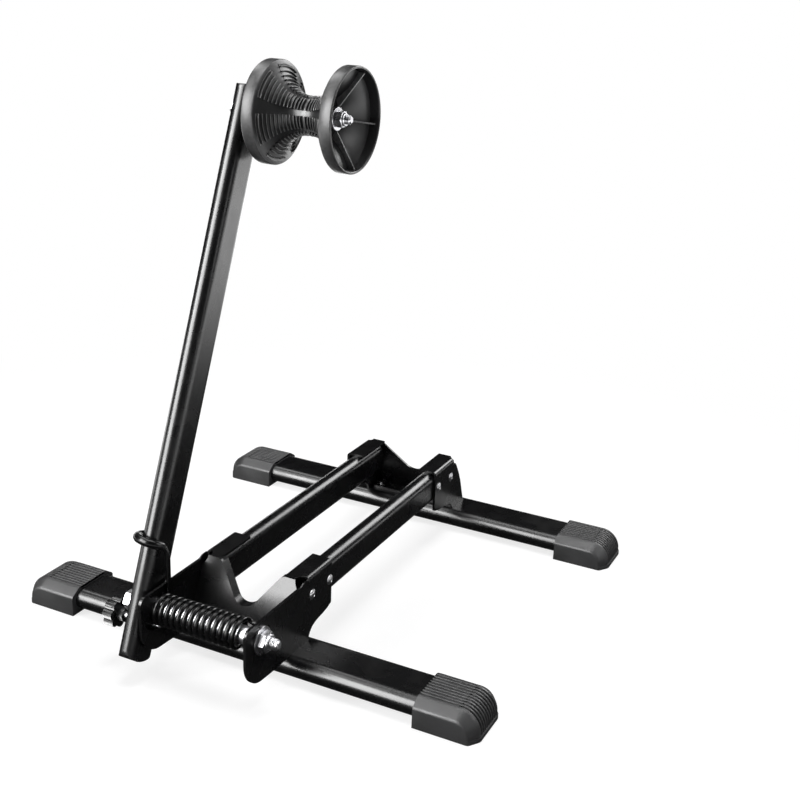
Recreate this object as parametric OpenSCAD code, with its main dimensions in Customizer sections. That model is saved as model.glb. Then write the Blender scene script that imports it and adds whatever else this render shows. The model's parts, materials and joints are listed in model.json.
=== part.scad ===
// Push-in floor rack for one bicycle. Two flat-oval cross beams on moulded feet carry two
// rails between folded sheet brackets. A leaning arm, turned by a torsion spring on the
// pivot bolt, presses a flanged roller against the tyre. All lengths are millimetres.
// X runs along the cross beams, Y from the arm to the rear, Z up from the floor.

/* [Base] */
// Overall width across the feet
base_w = 480; // [400:1:560]
// Distance between the centre lines of the two cross beams
beam_spacing = 350; // [330:1:420]
// Width of the flat-oval cross beams
beam_w = 50; // [46:1:54]
// Thickness of the flat-oval cross beams
beam_t = 20; // [16:1:24]
// Wall of the cross beams
beam_wall = 2; // [1.5:0.1:3]

/* [Feet] */
// Length of a moulded foot along its beam
foot_len = 59; // [50:1:70]
// Width of a foot at the floor
foot_w = 60; // [58:1:66]
// Width of the flat top of a foot
foot_top_w = 39; // [34:1:44]
// Overall height of a foot
foot_h = 26.5; // [26:0.5:30]
// Height of a foot's upright side below its sloping shoulder
foot_side_h = 19.6; // [17:0.1:22]
// Thickness of the sole under the beam
foot_sole = 3.3; // [2.5:0.1:4.5]
// Solid end of a foot beyond the beam
foot_end = 14; // [12:0.5:18]
// Plan radius of a foot's outer corners
foot_corner_r = 14; // [8:1:20]
// Number of grip grooves over a foot's end
foot_grooves = 9; // [5:1:10]

/* [Rails] */
// Width of a flat-oval rail standing on edge
rail_w = 17.5; // [14:0.5:20]
// Height of a rail
rail_h = 35; // [30:1:40]
// Wall of the rails
rail_wall = 1.75; // [1.2:0.05:2.5]
// Clear height between the beam tops and the rails
rail_lift = 26; // [22:1:32]

/* [Brackets] */
// Thickness of the folded sheet
sheet_t = 2.5; // [2:0.1:3]
// Outside width across the side plates
bracket_w = 109; // [100:1:120]
// Outside radius of the long folds
bend_r = 4; // [3.5:0.1:6]
// Length of the wings and side plates along the rails
wing_len = 51; // [45:1:60]
// Width of a wing over its rail
wing_w = 20.5; // [18:0.5:24]
// Front web, from the front beam's centre line towards the rails
front_web_y = 4; // [0:0.5:8]
// Rear web, from the rear beam's centre line towards the rails
rear_web_y = 17; // [14:0.5:20]
// Slope of a web, as the run from its top to the beam
web_run = 27; // [22:0.5:32]
// Width of a web
web_w = 103; // [96:1:103]
// Depth of the front wheel notch
front_notch_depth = 33; // [26:0.5:38]
// Depth of the rear wheel notch
rear_notch_depth = 31; // [24:0.5:38]
// Radius of the bottom of the wheel notches
notch_r = 14; // [8:0.5:16]
// Slope of the front notch's flanks, in degrees
front_notch_slope = 52; // [48:1:60]
// Slope of the rear notch's flanks, in degrees
rear_notch_slope = 45; // [42:1:56]
// Depth of the lip turned back round the front notch
lip_depth = 9; // [4:0.5:12]
// Radius of the relief holes at the front bracket's corners
relief_r = 7; // [5:0.5:8]
// Radius of the relief holes at the rear bracket's corners
rear_relief_r = 4; // [3:0.5:5]

/* [Pivot] */
// Pivot bolt, from the front beam's centre line forwards
pivot_reach = 65; // [60:1:75]
// Height of the pivot bolt above the floor
pivot_h = 65; // [60:1:70]
// Pivot bolt diameter
pivot_d = 10; // [8:1:12]
// Sheet left in front of the pivot bolt's centre
ear_edge = 23.5; // [23:0.5:28]
// Radius of the lower lobe of the side plates
ear_r = 26; // [22:1:28]
// Outer diameter of the bushing that carries the spring
bushing_d = 16; // [14:0.5:18]

/* [Arm] */
// Lean of the arm to the rear at rest, in degrees
arm_lean = 22; // [15:0.5:28]
// Distance from the pivot bolt to the roller's axle
arm_reach = 444; // [400:1:480]
// Arm beyond the roller's axle, up to its plug
arm_top = 14; // [13:1:24]
// Arm below the pivot bolt, down to its plug
arm_foot = 41; // [36:1:46]
// Width of the flat-oval arm tube
arm_w = 35; // [32:1:40]
// Thickness of the flat-oval arm tube
arm_t = 17.5; // [15:0.5:20]
// Wall of the arm tube
arm_wall = 2; // [1.5:0.1:2.5]
// Space between the arm and the left side plate
arm_gap = 2.5; // [2.4:0.1:5]

/* [Lock knob] */
// Distance from the pivot bolt to the lock screw
lock_drop = 18; // [17:0.1:18.5]
// Diameter of the lock screw
lock_d = 6; // [5.5:0.1:8]
// Diameter of the pin end that runs in the slot
lock_pin_d = 4.5; // [3.5:0.1:5]
// Diameter across the knob's lobes
knob_d = 27; // [26:1:36]
// Thickness of the knob's lobed head
knob_t = 10; // [8:1:14]
// Number of lobes
knob_lobes = 7; // [5:1:9]
// Distance from the arm to the underside of the knob's boss
knob_stand = 13.5; // [12:0.5:18]

/* [Spring] */
// Mean diameter of the coil
coil_d = 25.5; // [24.5:0.1:28]
// Wire diameter
wire_d = 4.5; // [4:0.1:4.8]
// Number of turns
coil_turns = 14; // [10:1:14]
// Length of the coil from centre to centre of its end turns
coil_len = 86; // [80:1:88]
// Height of the upright leg above the pivot bolt
leg_h = 42; // [38:1:50]

/* [Roller] */
// Diameter of the roller's flanges
roller_d = 90; // [80:1:96]
// Overall length of the roller
roller_len = 87; // [82:1:92]
// Width of a flange's rim
rim_w = 12; // [10:0.5:14]
// Diameter of the neck between the flanges
neck_d = 29; // [26:0.5:34]
// Wall of the moulded halves
roller_wall = 2.5; // [2:0.1:3]
// Number of ribs inside each half
rib_count = 5; // [4:1:7]
// Number of ribbed pads round each cone
pad_count = 6; // [5:1:8]
// Number of steps on each pad
pad_steps = 10; // [6:1:11]
// Roller axle diameter
axle_d = 8; // [8:0.5:10]

/* [Hidden] */
$fn = 64;

// Shared clearances and the overrun of every cut
cut = 1;
fit = 0.2;
run_gap = 0.3;

// Heights and places that follow from the named sizes
beam_z = foot_sole + fit + beam_t / 2;
beam_top = beam_z + beam_t / 2;
rail_z = beam_top + rail_lift + rail_h / 2;
deck = rail_z + rail_h / 2 + sheet_t;
plate_top = deck - bend_r;
half_w = bracket_w / 2;
plate_in = half_w - sheet_t;
rail_x = plate_in - rail_w / 2;

// Foremost point of the arm's rounded bottom plug, in front of the pivot bolt
plug_r = 7.5;
plug_t = 8.5;
arm_front = (arm_foot + plug_t - plug_r) * sin(arm_lean)
    + (arm_w / 2 - plug_r) * cos(arm_lean) + plug_r;

// Places along Y and X, with the origin under the middle of the whole rack
front_over = pivot_reach + arm_front;
front_y = front_over - (front_over + beam_spacing + foot_w / 2) / 2;
rear_y = front_y + beam_spacing;
pivot_y = front_y - pivot_reach;
arm_in = half_w + arm_gap;
arm_x = -(arm_in + arm_t / 2);
arm_out = arm_in + arm_t;
web_lean = atan(web_run / (deck - beam_top));

// Points of a circular arc
function arc(c, r, a0, a1, n = 8) =
    [for (i = [0:n]) c + r * [cos(a0 + (a1 - a0) * i / n), sin(a0 + (a1 - a0) * i / n)]];

// Flat-oval section, standing along its second side
module oval(w, h) {
    r = min(w, h) / 2;
    square([max(w - 2 * r, w > h ? 0 : w), max(h - 2 * r, w > h ? h : 0)], center = true);
    for (s = [-1, 1])
        translate(w > h ? [s * (w / 2 - r), 0] : [0, s * (h / 2 - r)]) circle(r);
}

module oval_ring(w, h, wall) {
    difference() {
        oval(w, h);
        oval(w - 2 * wall, h - 2 * wall);
    }
}

// Turns a shape drawn with its Z upwards so that Z points along +X
module along_x() {
    rotate([90, 0, 90]) children();
}

// Round bar or hole along X between two places
module bar_x(x0, x1, d) {
    translate([x0, 0, 0]) rotate([0, 90, 0]) cylinder(h = x1 - x0, d = d);
}

module hex_x(x0, x1, across) {
    translate([x0, 0, 0]) rotate([0, 90, 0]) cylinder(h = x1 - x0, d = across / cos(30), $fn = 6);
}

// Places its children at the pivot bolt, level or in line with the leaning arm
module at_pivot() {
    translate([0, pivot_y, pivot_h]) children();
}

module in_arm() {
    at_pivot() rotate([-arm_lean, 0, 0]) children();
}

// Turns upright again inside the arm's lean
module from_lean() {
    rotate([arm_lean, 0, 0]) children();
}

// Cross beams with the holes for the bracket screws
screw_x = 44;
screw_d = 5;
screw_head_d = 9;
screw_head_h = 3;

module beam(y) {
    translate([0, y, beam_z]) difference() {
        translate([-base_w / 2 + foot_end + run_gap, 0, 0])
            along_x() linear_extrude(base_w - 2 * foot_end - 2 * run_gap)
                oval_ring(beam_w, beam_t, beam_wall);
        for (s = [-1, 1]) translate([s * screw_x, 0, 0]) cylinder(h = beam_t, d = screw_d);
    }
}

// Moulded feet: a shouldered block whose outer end rolls down to a base lip, with grip grooves
// that are shallow on top and deep round the end
groove_top_d = 0.6;
groove_end_d = 2;
groove_w_share = 0.5;
groove_span_share = 0.92;
foot_lip_h = 4;
foot_lip_out = 1;
foot_roll_r = 20;

module foot_profile() {
    polygon([
        [-foot_w / 2, 0], [foot_w / 2, 0], [foot_w / 2, foot_side_h],
        [foot_top_w / 2, foot_h], [-foot_top_w / 2, foot_h], [-foot_w / 2, foot_side_h]
    ]);
}

// Plan of a foot reaching from x = 0 to its outer end
module foot_plan() {
    w = foot_w / 2;
    r = foot_corner_r;
    polygon(concat(
        [[-cut, -w]],
        arc([foot_len - r, r - w], r, -90, 0, 10),
        arc([foot_len - r, w - r], r, 0, 90, 10),
        [[-cut, w]]
    ));
}

// Side view of a foot's end, rolling from the top down to the lip
function foot_roll(inset) = arc(
    [foot_len - foot_lip_out - foot_roll_r, foot_h - foot_roll_r], foot_roll_r - inset, 90, 0, 12);

module foot_side() {
    polygon(concat(
        [[0, 0], [0, foot_h]],
        foot_roll(0),
        [[foot_len - foot_lip_out, foot_lip_h], [foot_len, foot_lip_h * 0.7], [foot_len, 0]]
    ));
}

module foot_groove() {
    polygon(concat(
        [[-cut, foot_h + cut], [-cut, foot_h - groove_top_d],
         [foot_len - foot_lip_out - foot_roll_r - groove_end_d, foot_h - groove_top_d]],
        foot_roll(groove_end_d),
        [[foot_len - foot_lip_out - groove_end_d, foot_lip_h], [foot_len + cut, foot_lip_h],
         [foot_len + cut, foot_h + cut]]
    ));
}

// A side view given a width across the foot
module across(w) {
    translate([0, w / 2, 0]) rotate([90, 0, 0]) linear_extrude(w) children();
}

module foot() {
    pitch = foot_top_w * groove_span_share / foot_grooves;
    difference() {
        intersection() {
            along_x() linear_extrude(foot_len) foot_profile();
            linear_extrude(foot_h) foot_plan();
            across(foot_w) foot_side();
        }
        translate([-cut, 0, beam_z]) along_x()
            linear_extrude(foot_len - foot_end + cut) oval(beam_w + 2 * fit, beam_t + 2 * fit);
        for (i = [0:foot_grooves - 1])
            translate([0, (i - (foot_grooves - 1) / 2) * pitch, 0])
                across(pitch * groove_w_share) foot_groove();
    }
}

module place_foot(side, y) {
    translate([side * (base_w / 2 - foot_len), y, 0]) scale_side(side) foot();
}

module scale_side(side) {
    if (side < 0) mirror([1, 0, 0]) children();
    else children();
}

// Rails between the brackets, with the rivet holes in their outer walls
rivet_d = 6;
rivet_head_d = 10;
rivet_head_h = 2;
rivet_tail = 2;
rivet_pitch = 31.5;
front_rivet_inset = 16;
rear_rivet_inset = 11;
front_rail_inset = lip_depth + 1;
rear_rail_inset = 3.4;
rail_y0 = front_y + front_web_y + front_rail_inset;
rail_y1 = rear_y - rear_web_y - rear_rail_inset;

function rivet_ys() = [
    front_y + front_web_y + front_rivet_inset,
    front_y + front_web_y + front_rivet_inset + rivet_pitch,
    rear_y - rear_web_y - rear_rivet_inset - rivet_pitch,
    rear_y - rear_web_y - rear_rivet_inset
];

module rail(side) {
    difference() {
        translate([side * rail_x, rail_y1, rail_z]) rotate([90, 0, 0])
            linear_extrude(rail_y1 - rail_y0) oval_ring(rail_w, rail_h, rail_wall);
        for (y = rivet_ys()) translate([0, y, rail_z])
            bar_x(side > 0 ? rail_x : -plate_in - cut, side > 0 ? plate_in + cut : -rail_x, rivet_d);
    }
}

// Wheel notch in a web: a round bottom, straight flanks and shoulders that roll over to the
// wings. Grown, it follows the same line a little deeper in the sheet.
shoulder_r = 8;

function notch_side(depth, slope, grow) =
    let (c = [0, deck - depth + notch_r],
         foot = c + notch_r * [sin(slope), -cos(slope)],
         run = (deck - shoulder_r - foot[1] + shoulder_r * cos(slope)) / sin(slope),
         top = foot + run * [cos(slope), sin(slope)] + shoulder_r * [sin(slope), -cos(slope)])
    concat(
        arc(c, notch_r + grow, -90, slope - 90, 8),
        arc(top, shoulder_r - grow, 90 + slope, 90, 8)
    );

function notch_top(depth, slope, k) =
    let (p = notch_side(depth, slope, 0)) [k * p[len(p) - 1][0], deck + cut];

function both_sides(p) = concat(
    [for (i = [len(p) - 1:-1:0]) [-p[i][0], p[i][1]]],
    [for (i = [1:len(p) - 1]) p[i]]
);

// Sloping slab that the web and its lip are cut from, hung at the web's top edge
module web_slab(web_y, depth) {
    translate([0, web_y, deck]) rotate([-web_lean, 0, 0])
        translate([-half_w, 0, -2 * deck]) cube([bracket_w, depth, 2 * deck + bend_r]);
}

module front_view(y0, y1) {
    translate([0, y1, 0]) rotate([90, 0, 0]) linear_extrude(y1 - y0) children();
}

module web(web_y, lip, depth, slope) {
    far = web_run + deck;
    intersection() {
        web_slab(web_y, sheet_t);
        front_view(web_y - far, web_y + far) difference() {
            translate([-web_w / 2, beam_top]) square([web_w, deck - beam_top]);
            polygon(concat(
                both_sides(notch_side(depth, slope, 0)),
                [for (k = [1, -1]) notch_top(depth, slope, k)]
            ));
        }
    }
    if (lip > sheet_t) intersection() {
        web_slab(web_y, lip);
        front_view(web_y - far, web_y + far) intersection() {
            difference() {
                polygon(both_sides(notch_side(depth, slope, sheet_t)));
                polygon(both_sides(notch_side(depth, slope, 0)));
            }
            translate([-half_w, 0]) square([bracket_w, deck - sheet_t]);
        }
    }
}

// Flange under the web, screwed to the beam
flange_margin = 1;
flange_in = 10;

module flange(web_y) {
    y0 = web_y - web_run;
    half = plate_in - flange_margin;
    difference() {
        translate([-half, y0, beam_top]) cube([2 * half, flange_in - y0, sheet_t]);
        for (s = [-1, 1]) translate([s * screw_x, 0, beam_top - cut])
            cylinder(h = sheet_t + 2 * cut, d = screw_d);
    }
}

// Wing over the rail with the long fold into the side plate
module wing(web_y) {
    c = [half_w - bend_r, deck - bend_r];
    front_view(web_y, web_y + wing_len)
        polygon(concat(
            [[half_w - wing_w, deck - sheet_t], [half_w - wing_w, deck]],
            arc(c, bend_r, 90, 0),
            [[half_w, rail_z], [plate_in, rail_z]],
            arc(c, bend_r - sheet_t, 0, 90)
        ));
}

// Lower edge of a side plate, swept up from the beam towards the rail's underside
skirt_high = 18.5;
skirt_rise_shares = [[1, 1], [0.82, 0.86], [0.64, 0.78], [0.46, 0.74], [0.3, 0.68],
    [0.16, 0.56], [0.06, 0.34], [0.02, 0.16], [0, 0]];

function skirt(y_in, y_end) = concat(
    [[y_end, plate_top]],
    [for (p = skirt_rise_shares)
        [y_in + p[0] * (y_end - y_in), beam_top + p[1] * skirt_high]]
);

plate_in_y = 14;
ear_corner_r = 6;
ear_heel = 20;

module front_plate() {
    y_end = front_web_y + wing_len;
    y_front = -pivot_reach - ear_edge;
    polygon(concat(
        skirt(plate_in_y, y_end),
        [[y_front + ear_r + ear_heel, beam_top]],
        arc([y_front + ear_r, beam_top + ear_r + sheet_t / 2], ear_r, 265, 180, 12),
        arc([y_front + ear_corner_r, plate_top - ear_corner_r], ear_corner_r, 180, 90, 6)
    ));
}

rear_edge_shares = [[0, 0], [0.1, 0.1], [0.24, 0.3], [0.37, 0.48], [0.52, 0.64],
    [0.68, 0.78], [0.82, 0.89], [0.92, 0.95], [1, 1]];

module rear_plate() {
    y_end = rear_web_y + wing_len;
    y_back = rear_web_y - web_run - sheet_t;
    y_high = rear_web_y + rear_relief_r / 2;
    polygon(concat(
        skirt(plate_in_y + flange_in / 3, y_end),
        [for (p = rear_edge_shares)
            [y_back + p[0] * (y_high - y_back), beam_top + p[1] * (plate_top - beam_top)]]
    ));
}

// Slot for the lock screw's pin, curved round the pivot bolt, in degrees from straight down
slot_rear = 21;
slot_front = 64.5;
tang_turn = 30;

function turned(a, r) = [-r * sin(a), -r * cos(a)];

module lock_slot() {
    w = lock_pin_d / 2 + run_gap;
    n = 16;
    translate([-half_w - cut, 0, 0]) along_x() linear_extrude(sheet_t + 2 * cut) polygon(concat(
        [for (i = [0:n]) turned(-slot_rear + (slot_front + slot_rear) * i / n, lock_drop + w)],
        arc(turned(slot_front, lock_drop), w, 270 - slot_front, 90 - slot_front, 8),
        [for (i = [n:-1:0]) turned(-slot_rear + (slot_front + slot_rear) * i / n, lock_drop - w)],
        arc(turned(-slot_rear, lock_drop), w, 90 + slot_rear, slot_rear - 90, 8)
    ));
}

module folded_bracket(web_y, lip, depth, slope, relief) {
    difference() {
        union() {
            web(web_y, lip, depth, slope);
            flange(web_y);
            for (s = [0, 1]) mirror([s, 0, 0]) {
                wing(web_y);
                translate([plate_in, 0, 0]) along_x() linear_extrude(sheet_t) children();
            }
        }
        for (s = [-1, 1])
            translate([s * plate_in, web_y + relief / 2, plate_top - relief])
                cylinder(h = deck, r = relief);
    }
}

module front_bracket() {
    color([0.06, 0.06, 0.07]) difference() {
        translate([0, front_y, 0]) folded_bracket(
            front_web_y, lip_depth, front_notch_depth, front_notch_slope, relief_r) front_plate();
        at_pivot() {
            bar_x(-half_w - cut, half_w + cut, pivot_d + 2 * fit);
            lock_slot();
            rotate([tang_turn, 0, 0]) translate([0, coil_d / 2, 0])
                bar_x(plate_in - cut, half_w + cut, wire_d + 2 * run_gap);
        }
        rivet_holes([rivet_ys()[0], rivet_ys()[1]]);
    }
}

module rear_bracket() {
    color([0.06, 0.06, 0.07]) difference() {
        translate([0, rear_y, 0]) mirror([0, 1, 0])
            folded_bracket(rear_web_y, sheet_t, rear_notch_depth, rear_notch_slope, rear_relief_r)
                rear_plate();
        rivet_holes([rivet_ys()[2], rivet_ys()[3]]);
    }
}

module rivet_holes(ys) {
    for (y = ys) translate([0, y, rail_z]) bar_x(-half_w - cut, half_w + cut, rivet_d);
}

// Domed blind rivet, its head on the side plate and its tail inside the rail
module rivet(side, y) {
    dome_r = (pow(rivet_head_d / 2, 2) + pow(rivet_head_h, 2)) / (2 * rivet_head_h);
    rim = asin(rivet_head_d / 2 / dome_r);
    translate([side * half_w, y, rail_z]) rotate([0, side * 90, 0]) rotate_extrude()
        polygon(concat(
            [[0, -sheet_t - rail_wall - rivet_tail], [rivet_d / 2, -sheet_t - rail_wall - rivet_tail],
             [rivet_d / 2, 0]],
            arc([0, rivet_head_h - dome_r], dome_r, 90 - rim, 90)
        ));
}

module rivets(ys) {
    color([0.8, 0.8, 0.82]) for (y = ys, s = [-1, 1]) rivet(s, y);
}

module screws(y) {
    color([0.8, 0.8, 0.82]) for (s = [-1, 1]) translate([s * screw_x, y, beam_top]) {
        translate([0, 0, sheet_t]) cylinder(h = screw_head_h, d = screw_head_d);
        translate([0, 0, -beam_t / 3]) cylinder(h = sheet_t + beam_t / 3, d = screw_d);
    }
}

// Pivot bolt and what it clamps, from the head outside the arm to the nut
washer_t = 2;
head_washer_d = 21;
spacer_d = 24;
nut_washer_d = 25;
hex_w = 17;
head_h = 6.4;
nut_h = 8;
bolt_end = 8;
sleeve_d = 14;
pivot_stack = arm_out + run_gap;

module pivot_bolt() {
    color([0.82, 0.82, 0.84]) at_pivot() {
        hex_x(-pivot_stack - washer_t - head_h, -pivot_stack - washer_t, hex_w);
        bar_x(-pivot_stack - washer_t, half_w + washer_t + nut_h + bolt_end, pivot_d);
    }
}

module ring_x(x0, x1, d, bore) {
    difference() {
        bar_x(x0, x1, d);
        bar_x(x0 - cut, x1 + cut, bore);
    }
}

module pivot_head_washer() {
    color([0.82, 0.82, 0.84]) at_pivot()
        ring_x(-pivot_stack - washer_t, -pivot_stack, head_washer_d, pivot_d + fit);
}

module pivot_spacer() {
    color([0.1, 0.1, 0.1]) at_pivot()
        ring_x(-arm_in + run_gap, -half_w, spacer_d, pivot_d + 2 * fit);
}

module pivot_bushing() {
    color([0.75, 0.75, 0.77]) at_pivot() ring_x(-plate_in, plate_in, bushing_d, pivot_d + fit);
}

module pivot_nut_washer() {
    color([0.82, 0.82, 0.84]) at_pivot()
        ring_x(half_w, half_w + washer_t, nut_washer_d, pivot_d + fit);
}

module pivot_nut() {
    color([0.82, 0.82, 0.84]) at_pivot() difference() {
        hex_x(half_w + washer_t, half_w + washer_t + nut_h, hex_w);
        bar_x(half_w, half_w + washer_t + nut_h + cut, pivot_d);
    }
}

// Arm tube, drilled for the pivot sleeve, the lock screw and the roller's axle
module arm_tube() {
    color([0.06, 0.06, 0.07]) in_arm() difference() {
        translate([arm_x, 0, -arm_foot]) linear_extrude(arm_foot + arm_reach + arm_top)
            oval_ring(arm_t, arm_w, arm_wall);
        bar_x(-arm_out - cut, -arm_in + cut, sleeve_d);
        translate([0, 0, arm_reach]) bar_x(-arm_out - cut, -arm_in + cut, axle_d);
        from_lean() translate([0, 0, -lock_drop]) {
            bar_x(-arm_out - cut, arm_x, insert_d);
            bar_x(arm_x, -arm_in + cut, lock_d + 2 * fit);
        }
    }
}

module arm_sleeve() {
    color([0.7, 0.7, 0.72]) in_arm() ring_x(-arm_out, -arm_in, sleeve_d, pivot_d + fit);
}

// Moulded plug with a rounded edge and a stem that fills the tube's end
plug_stem = 8;

module rounded_end(w, t, r) {
    translate([-w / 2, -t]) square([w, 2 * t - r]);
    translate([r - w / 2, 0]) square([w - 2 * r, t]);
    for (s = [-1, 1]) translate([s * (w / 2 - r), t - r]) circle(r);
}

module plug(t, r) {
    inner_w = arm_w - 2 * arm_wall - 2 * fit;
    inner_t = arm_t - 2 * arm_wall - 2 * fit;
    translate([0, 0, -plug_stem]) linear_extrude(plug_stem) oval(inner_t, inner_w);
    intersection() {
        linear_extrude(t) oval(arm_t, arm_w);
        along_x() translate([0, 0, -arm_t / 2]) linear_extrude(arm_t) rounded_end(arm_w, t, r);
        front_view(-arm_w / 2, arm_w / 2) rounded_end(arm_t, t, r);
    }
}

module arm_bottom_plug() {
    color([0.1, 0.1, 0.1]) in_arm() translate([arm_x, 0, -arm_foot]) mirror([0, 0, 1])
        plug(plug_t, plug_r);
}

module arm_top_plug() {
    color([0.1, 0.1, 0.1]) in_arm() translate([arm_x, 0, arm_reach + arm_top])
        plug(top_plug_t, top_plug_r);
}

top_plug_t = 4;
top_plug_r = 2;

// Threaded insert in the arm, and the lock screw with its star knob and pin end. The screw's
// shoulder bears on the side plate when it is tight, and its pin runs in the slot.
insert_d = 11;
insert_proud = 0.5;
insert_len = 8;
screw_fit = 0.05;
boss_d = 12;
boss_h = 6;
lobe_share = 0.34;
knob_core_share = 0.78;
stud_tip = 2.5;
stud_grip = 9;
knob_x = -arm_out - knob_stand;

module at_lock() {
    at_pivot() translate([0, 0, -lock_drop]) children();
}

module lock_insert() {
    color([0.75, 0.75, 0.77]) at_lock()
        ring_x(-arm_out - insert_proud, -arm_out + insert_len, insert_d, lock_d + 2 * screw_fit);
}

module lock_stud() {
    color([0.82, 0.82, 0.84]) at_lock() {
        bar_x(knob_x - stud_grip, -half_w - run_gap, lock_d);
        bar_x(-half_w - run_gap, stud_tip - plate_in, lock_pin_d);
    }
}

module knob_plan() {
    lobe_r = knob_d / 2 * lobe_share;
    circle(knob_d / 2 * knob_core_share);
    for (i = [0:knob_lobes - 1]) rotate(360 * i / knob_lobes)
        translate([knob_d / 2 - lobe_r, 0]) circle(lobe_r);
}

module lock_knob() {
    color([0.08, 0.08, 0.09]) at_lock() difference() {
        union() {
            bar_x(knob_x - boss_h, knob_x, boss_d);
            translate([knob_x - boss_h - knob_t, 0, 0]) rotate([0, 90, 0])
                linear_extrude(knob_t) knob_plan();
        }
        bar_x(knob_x - stud_grip - run_gap, knob_x + cut, lock_d + 2 * screw_fit);
    }
}

// Torsion spring: one tube swept along the tang, the coil, the upright leg and the hook
coil_r = coil_d / 2;
coil_x0 = run_gap + wire_d / 2 - plate_in;
coil_x1 = coil_x0 + coil_len;
curl_rings = 8;
wire_sides = 6;
hook_gap = 0.5;
hook_s = leg_h + 13;
hook_rise = 4;
hook_tail = 12;
hook_r = arm_t / 2 + wire_d / 2 + hook_gap;
hook_y = -(arm_w - arm_t) / 2;
bend_pull = 6;

function unit(v) = v / norm(v);

// Smooth curve from p to q that leaves along u and arrives along v
function ease(p, u, q, v, n, pull) = [for (i = [0:n])
    let (t = i / n, a = 1 - t)
        a * a * a * p + 3 * a * a * t * (p + pull * u)
        + 3 * a * t * t * (q - pull * v) + t * t * t * q];

// Turns a point or a direction given in the arm's lean into the upright frame
function upright(p) = [
    p[0],
    p[1] * cos(arm_lean) + p[2] * sin(arm_lean),
    p[2] * cos(arm_lean) - p[1] * sin(arm_lean)
];

// Point on the hook round the arm's front edge, from its inner side to its outer side
hook_a0 = -20;
hook_steps = 10;

function hook_point(i) =
    let (a = hook_a0 + (-180 - hook_a0) * i / hook_steps)
    upright([arm_x + hook_r * cos(a), hook_y + hook_r * sin(a), hook_s + hook_rise * i / hook_steps]);

// Point on the coil at a turn count from the leg, where the wire runs straight up
function coil_point(turn) =
    [coil_x0 + coil_len * turn / coil_turns, coil_r * cos(360 * turn), -coil_r * sin(360 * turn)];

tang_turns = coil_turns - tang_turn / 360;
last_ring = floor(tang_turns * curl_rings) - 1;
coil_last = coil_point(last_ring / curl_rings);
tang_end = coil_point(tang_turns);
tang_at = [coil_x1 + wire_d, tang_end[1], tang_end[2]];

spring_path = concat(
    [[half_w - run_gap, tang_end[1], tang_end[2]]],
    ease(tang_at, [-1, 0, 0], coil_last,
        unit(coil_point((last_ring - 1) / curl_rings) - coil_last), 6, bend_pull),
    [for (i = [last_ring - 1:-1:0]) coil_point(i / curl_rings)],
    [[coil_x0, coil_r, leg_h / 2]],
    ease([coil_x0, coil_r, leg_h], [0, 0, 1],
        hook_point(0), unit(hook_point(1) - hook_point(0)), 7, bend_pull),
    [for (i = [1:hook_steps]) hook_point(i)],
    [hook_point(hook_steps) + upright([0, hook_tail, 0])]
);

function tangents(p) = [for (i = [0:len(p) - 1])
    unit(p[min(i + 1, len(p) - 1)] - p[max(i - 1, 0)])];

// Carries one cross direction along the path without twist
function carried(t, i = 0, n = undef, out = []) =
    i == len(t) ? out
    : let (m = i == 0 ? cross(t[0], [0, 0, 1]) : n - (n * t[i]) * t[i], u = unit(m))
        carried(t, i + 1, u, concat(out, [u]));

module tube(path, d) {
    t = tangents(path);
    n = carried(t);
    k = len(path);
    pts = [for (i = [0:k - 1], j = [0:wire_sides - 1])
        let (a = 360 * j / wire_sides) path[i] + d / 2 * (cos(a) * n[i] + sin(a) * cross(t[i], n[i]))];
    side = [for (i = [0:k - 2], j = [0:wire_sides - 1], h = [0, 1])
        let (a = i * wire_sides + j, b = i * wire_sides + (j + 1) % wire_sides)
            h == 0 ? [a, b, b + wire_sides] : [a, b + wire_sides, a + wire_sides]];
    first = [for (j = [1:wire_sides - 2]) [0, j + 1, j]];
    last = [for (j = [1:wire_sides - 2])
        (k - 1) * wire_sides * [1, 1, 1] + [0, j, j + 1]];
    polyhedron(pts, concat(first, side, last));
}

module torsion_spring() {
    color([0.16, 0.16, 0.17]) at_pivot() tube(spring_path, wire_d);
}

// Least distance between stretches of wire more than a quarter turn apart
wire_gap = min([for (i = [0:len(spring_path) - 1], j = [0:len(spring_path) - 1])
    if (j > i + curl_rings / 2) norm(spring_path[i] - spring_path[j])]) - wire_d;
echo(least_gap_of_the_spring_to_itself = wire_gap);

// Roller: two moulded halves with hollow, ribbed cups, a bush and the axle's hardware
half_len = roller_len / 2;
rim_r = roller_d / 2;
neck_r = neck_d / 2;
neck_flat = 3;
rim_edge = 2;
flare_bow = 0.95;
flare_steps = 10;
hub_r = 10;
hub_x = half_len - 20;
bush_d = axle_d + 4;
rib_t = 1.6;
pad_h = 0.9;
pad_share = 0.68;
pad_turn = 8;
rib_turn = 174;
cone_end = half_len - rim_w;

flare_len = cone_end - neck_flat;
flare_rise = (rim_r - rim_edge - neck_r) / (1 - sqrt(1 - flare_bow * flare_bow));

// Trumpet curve of a flange, and points set in from it along its normal
function flare_r(u) = neck_r + flare_rise * (1 - sqrt(1 - pow(flare_bow * u, 2)));

function flare_slope(u) =
    flare_rise / flare_len * pow(flare_bow, 2) * u / sqrt(1 - pow(flare_bow * u, 2));

function flare_at(u, drop) =
    let (m = flare_slope(u), k = drop / sqrt(1 + m * m))
        [flare_r(u) - k, neck_flat + flare_len * u + k * m];

function flare(drop) = [for (i = [0:flare_steps]) flare_at(i / flare_steps, drop)];

module half_profile() {
    polygon(concat(
        [[bush_d / 2 + fit, 0], [neck_r, 0]],
        flare(0),
        [[rim_r, cone_end + rim_edge / 2], [rim_r, half_len],
         [rim_r - roller_wall, half_len]],
        [for (i = [flare_steps:-1:1]) flare(roller_wall)[i]],
        [[hub_r, flare(roller_wall)[1][1]], [hub_r, hub_x], [bush_d / 2 + fit, hub_x]]
    ));
}

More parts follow.
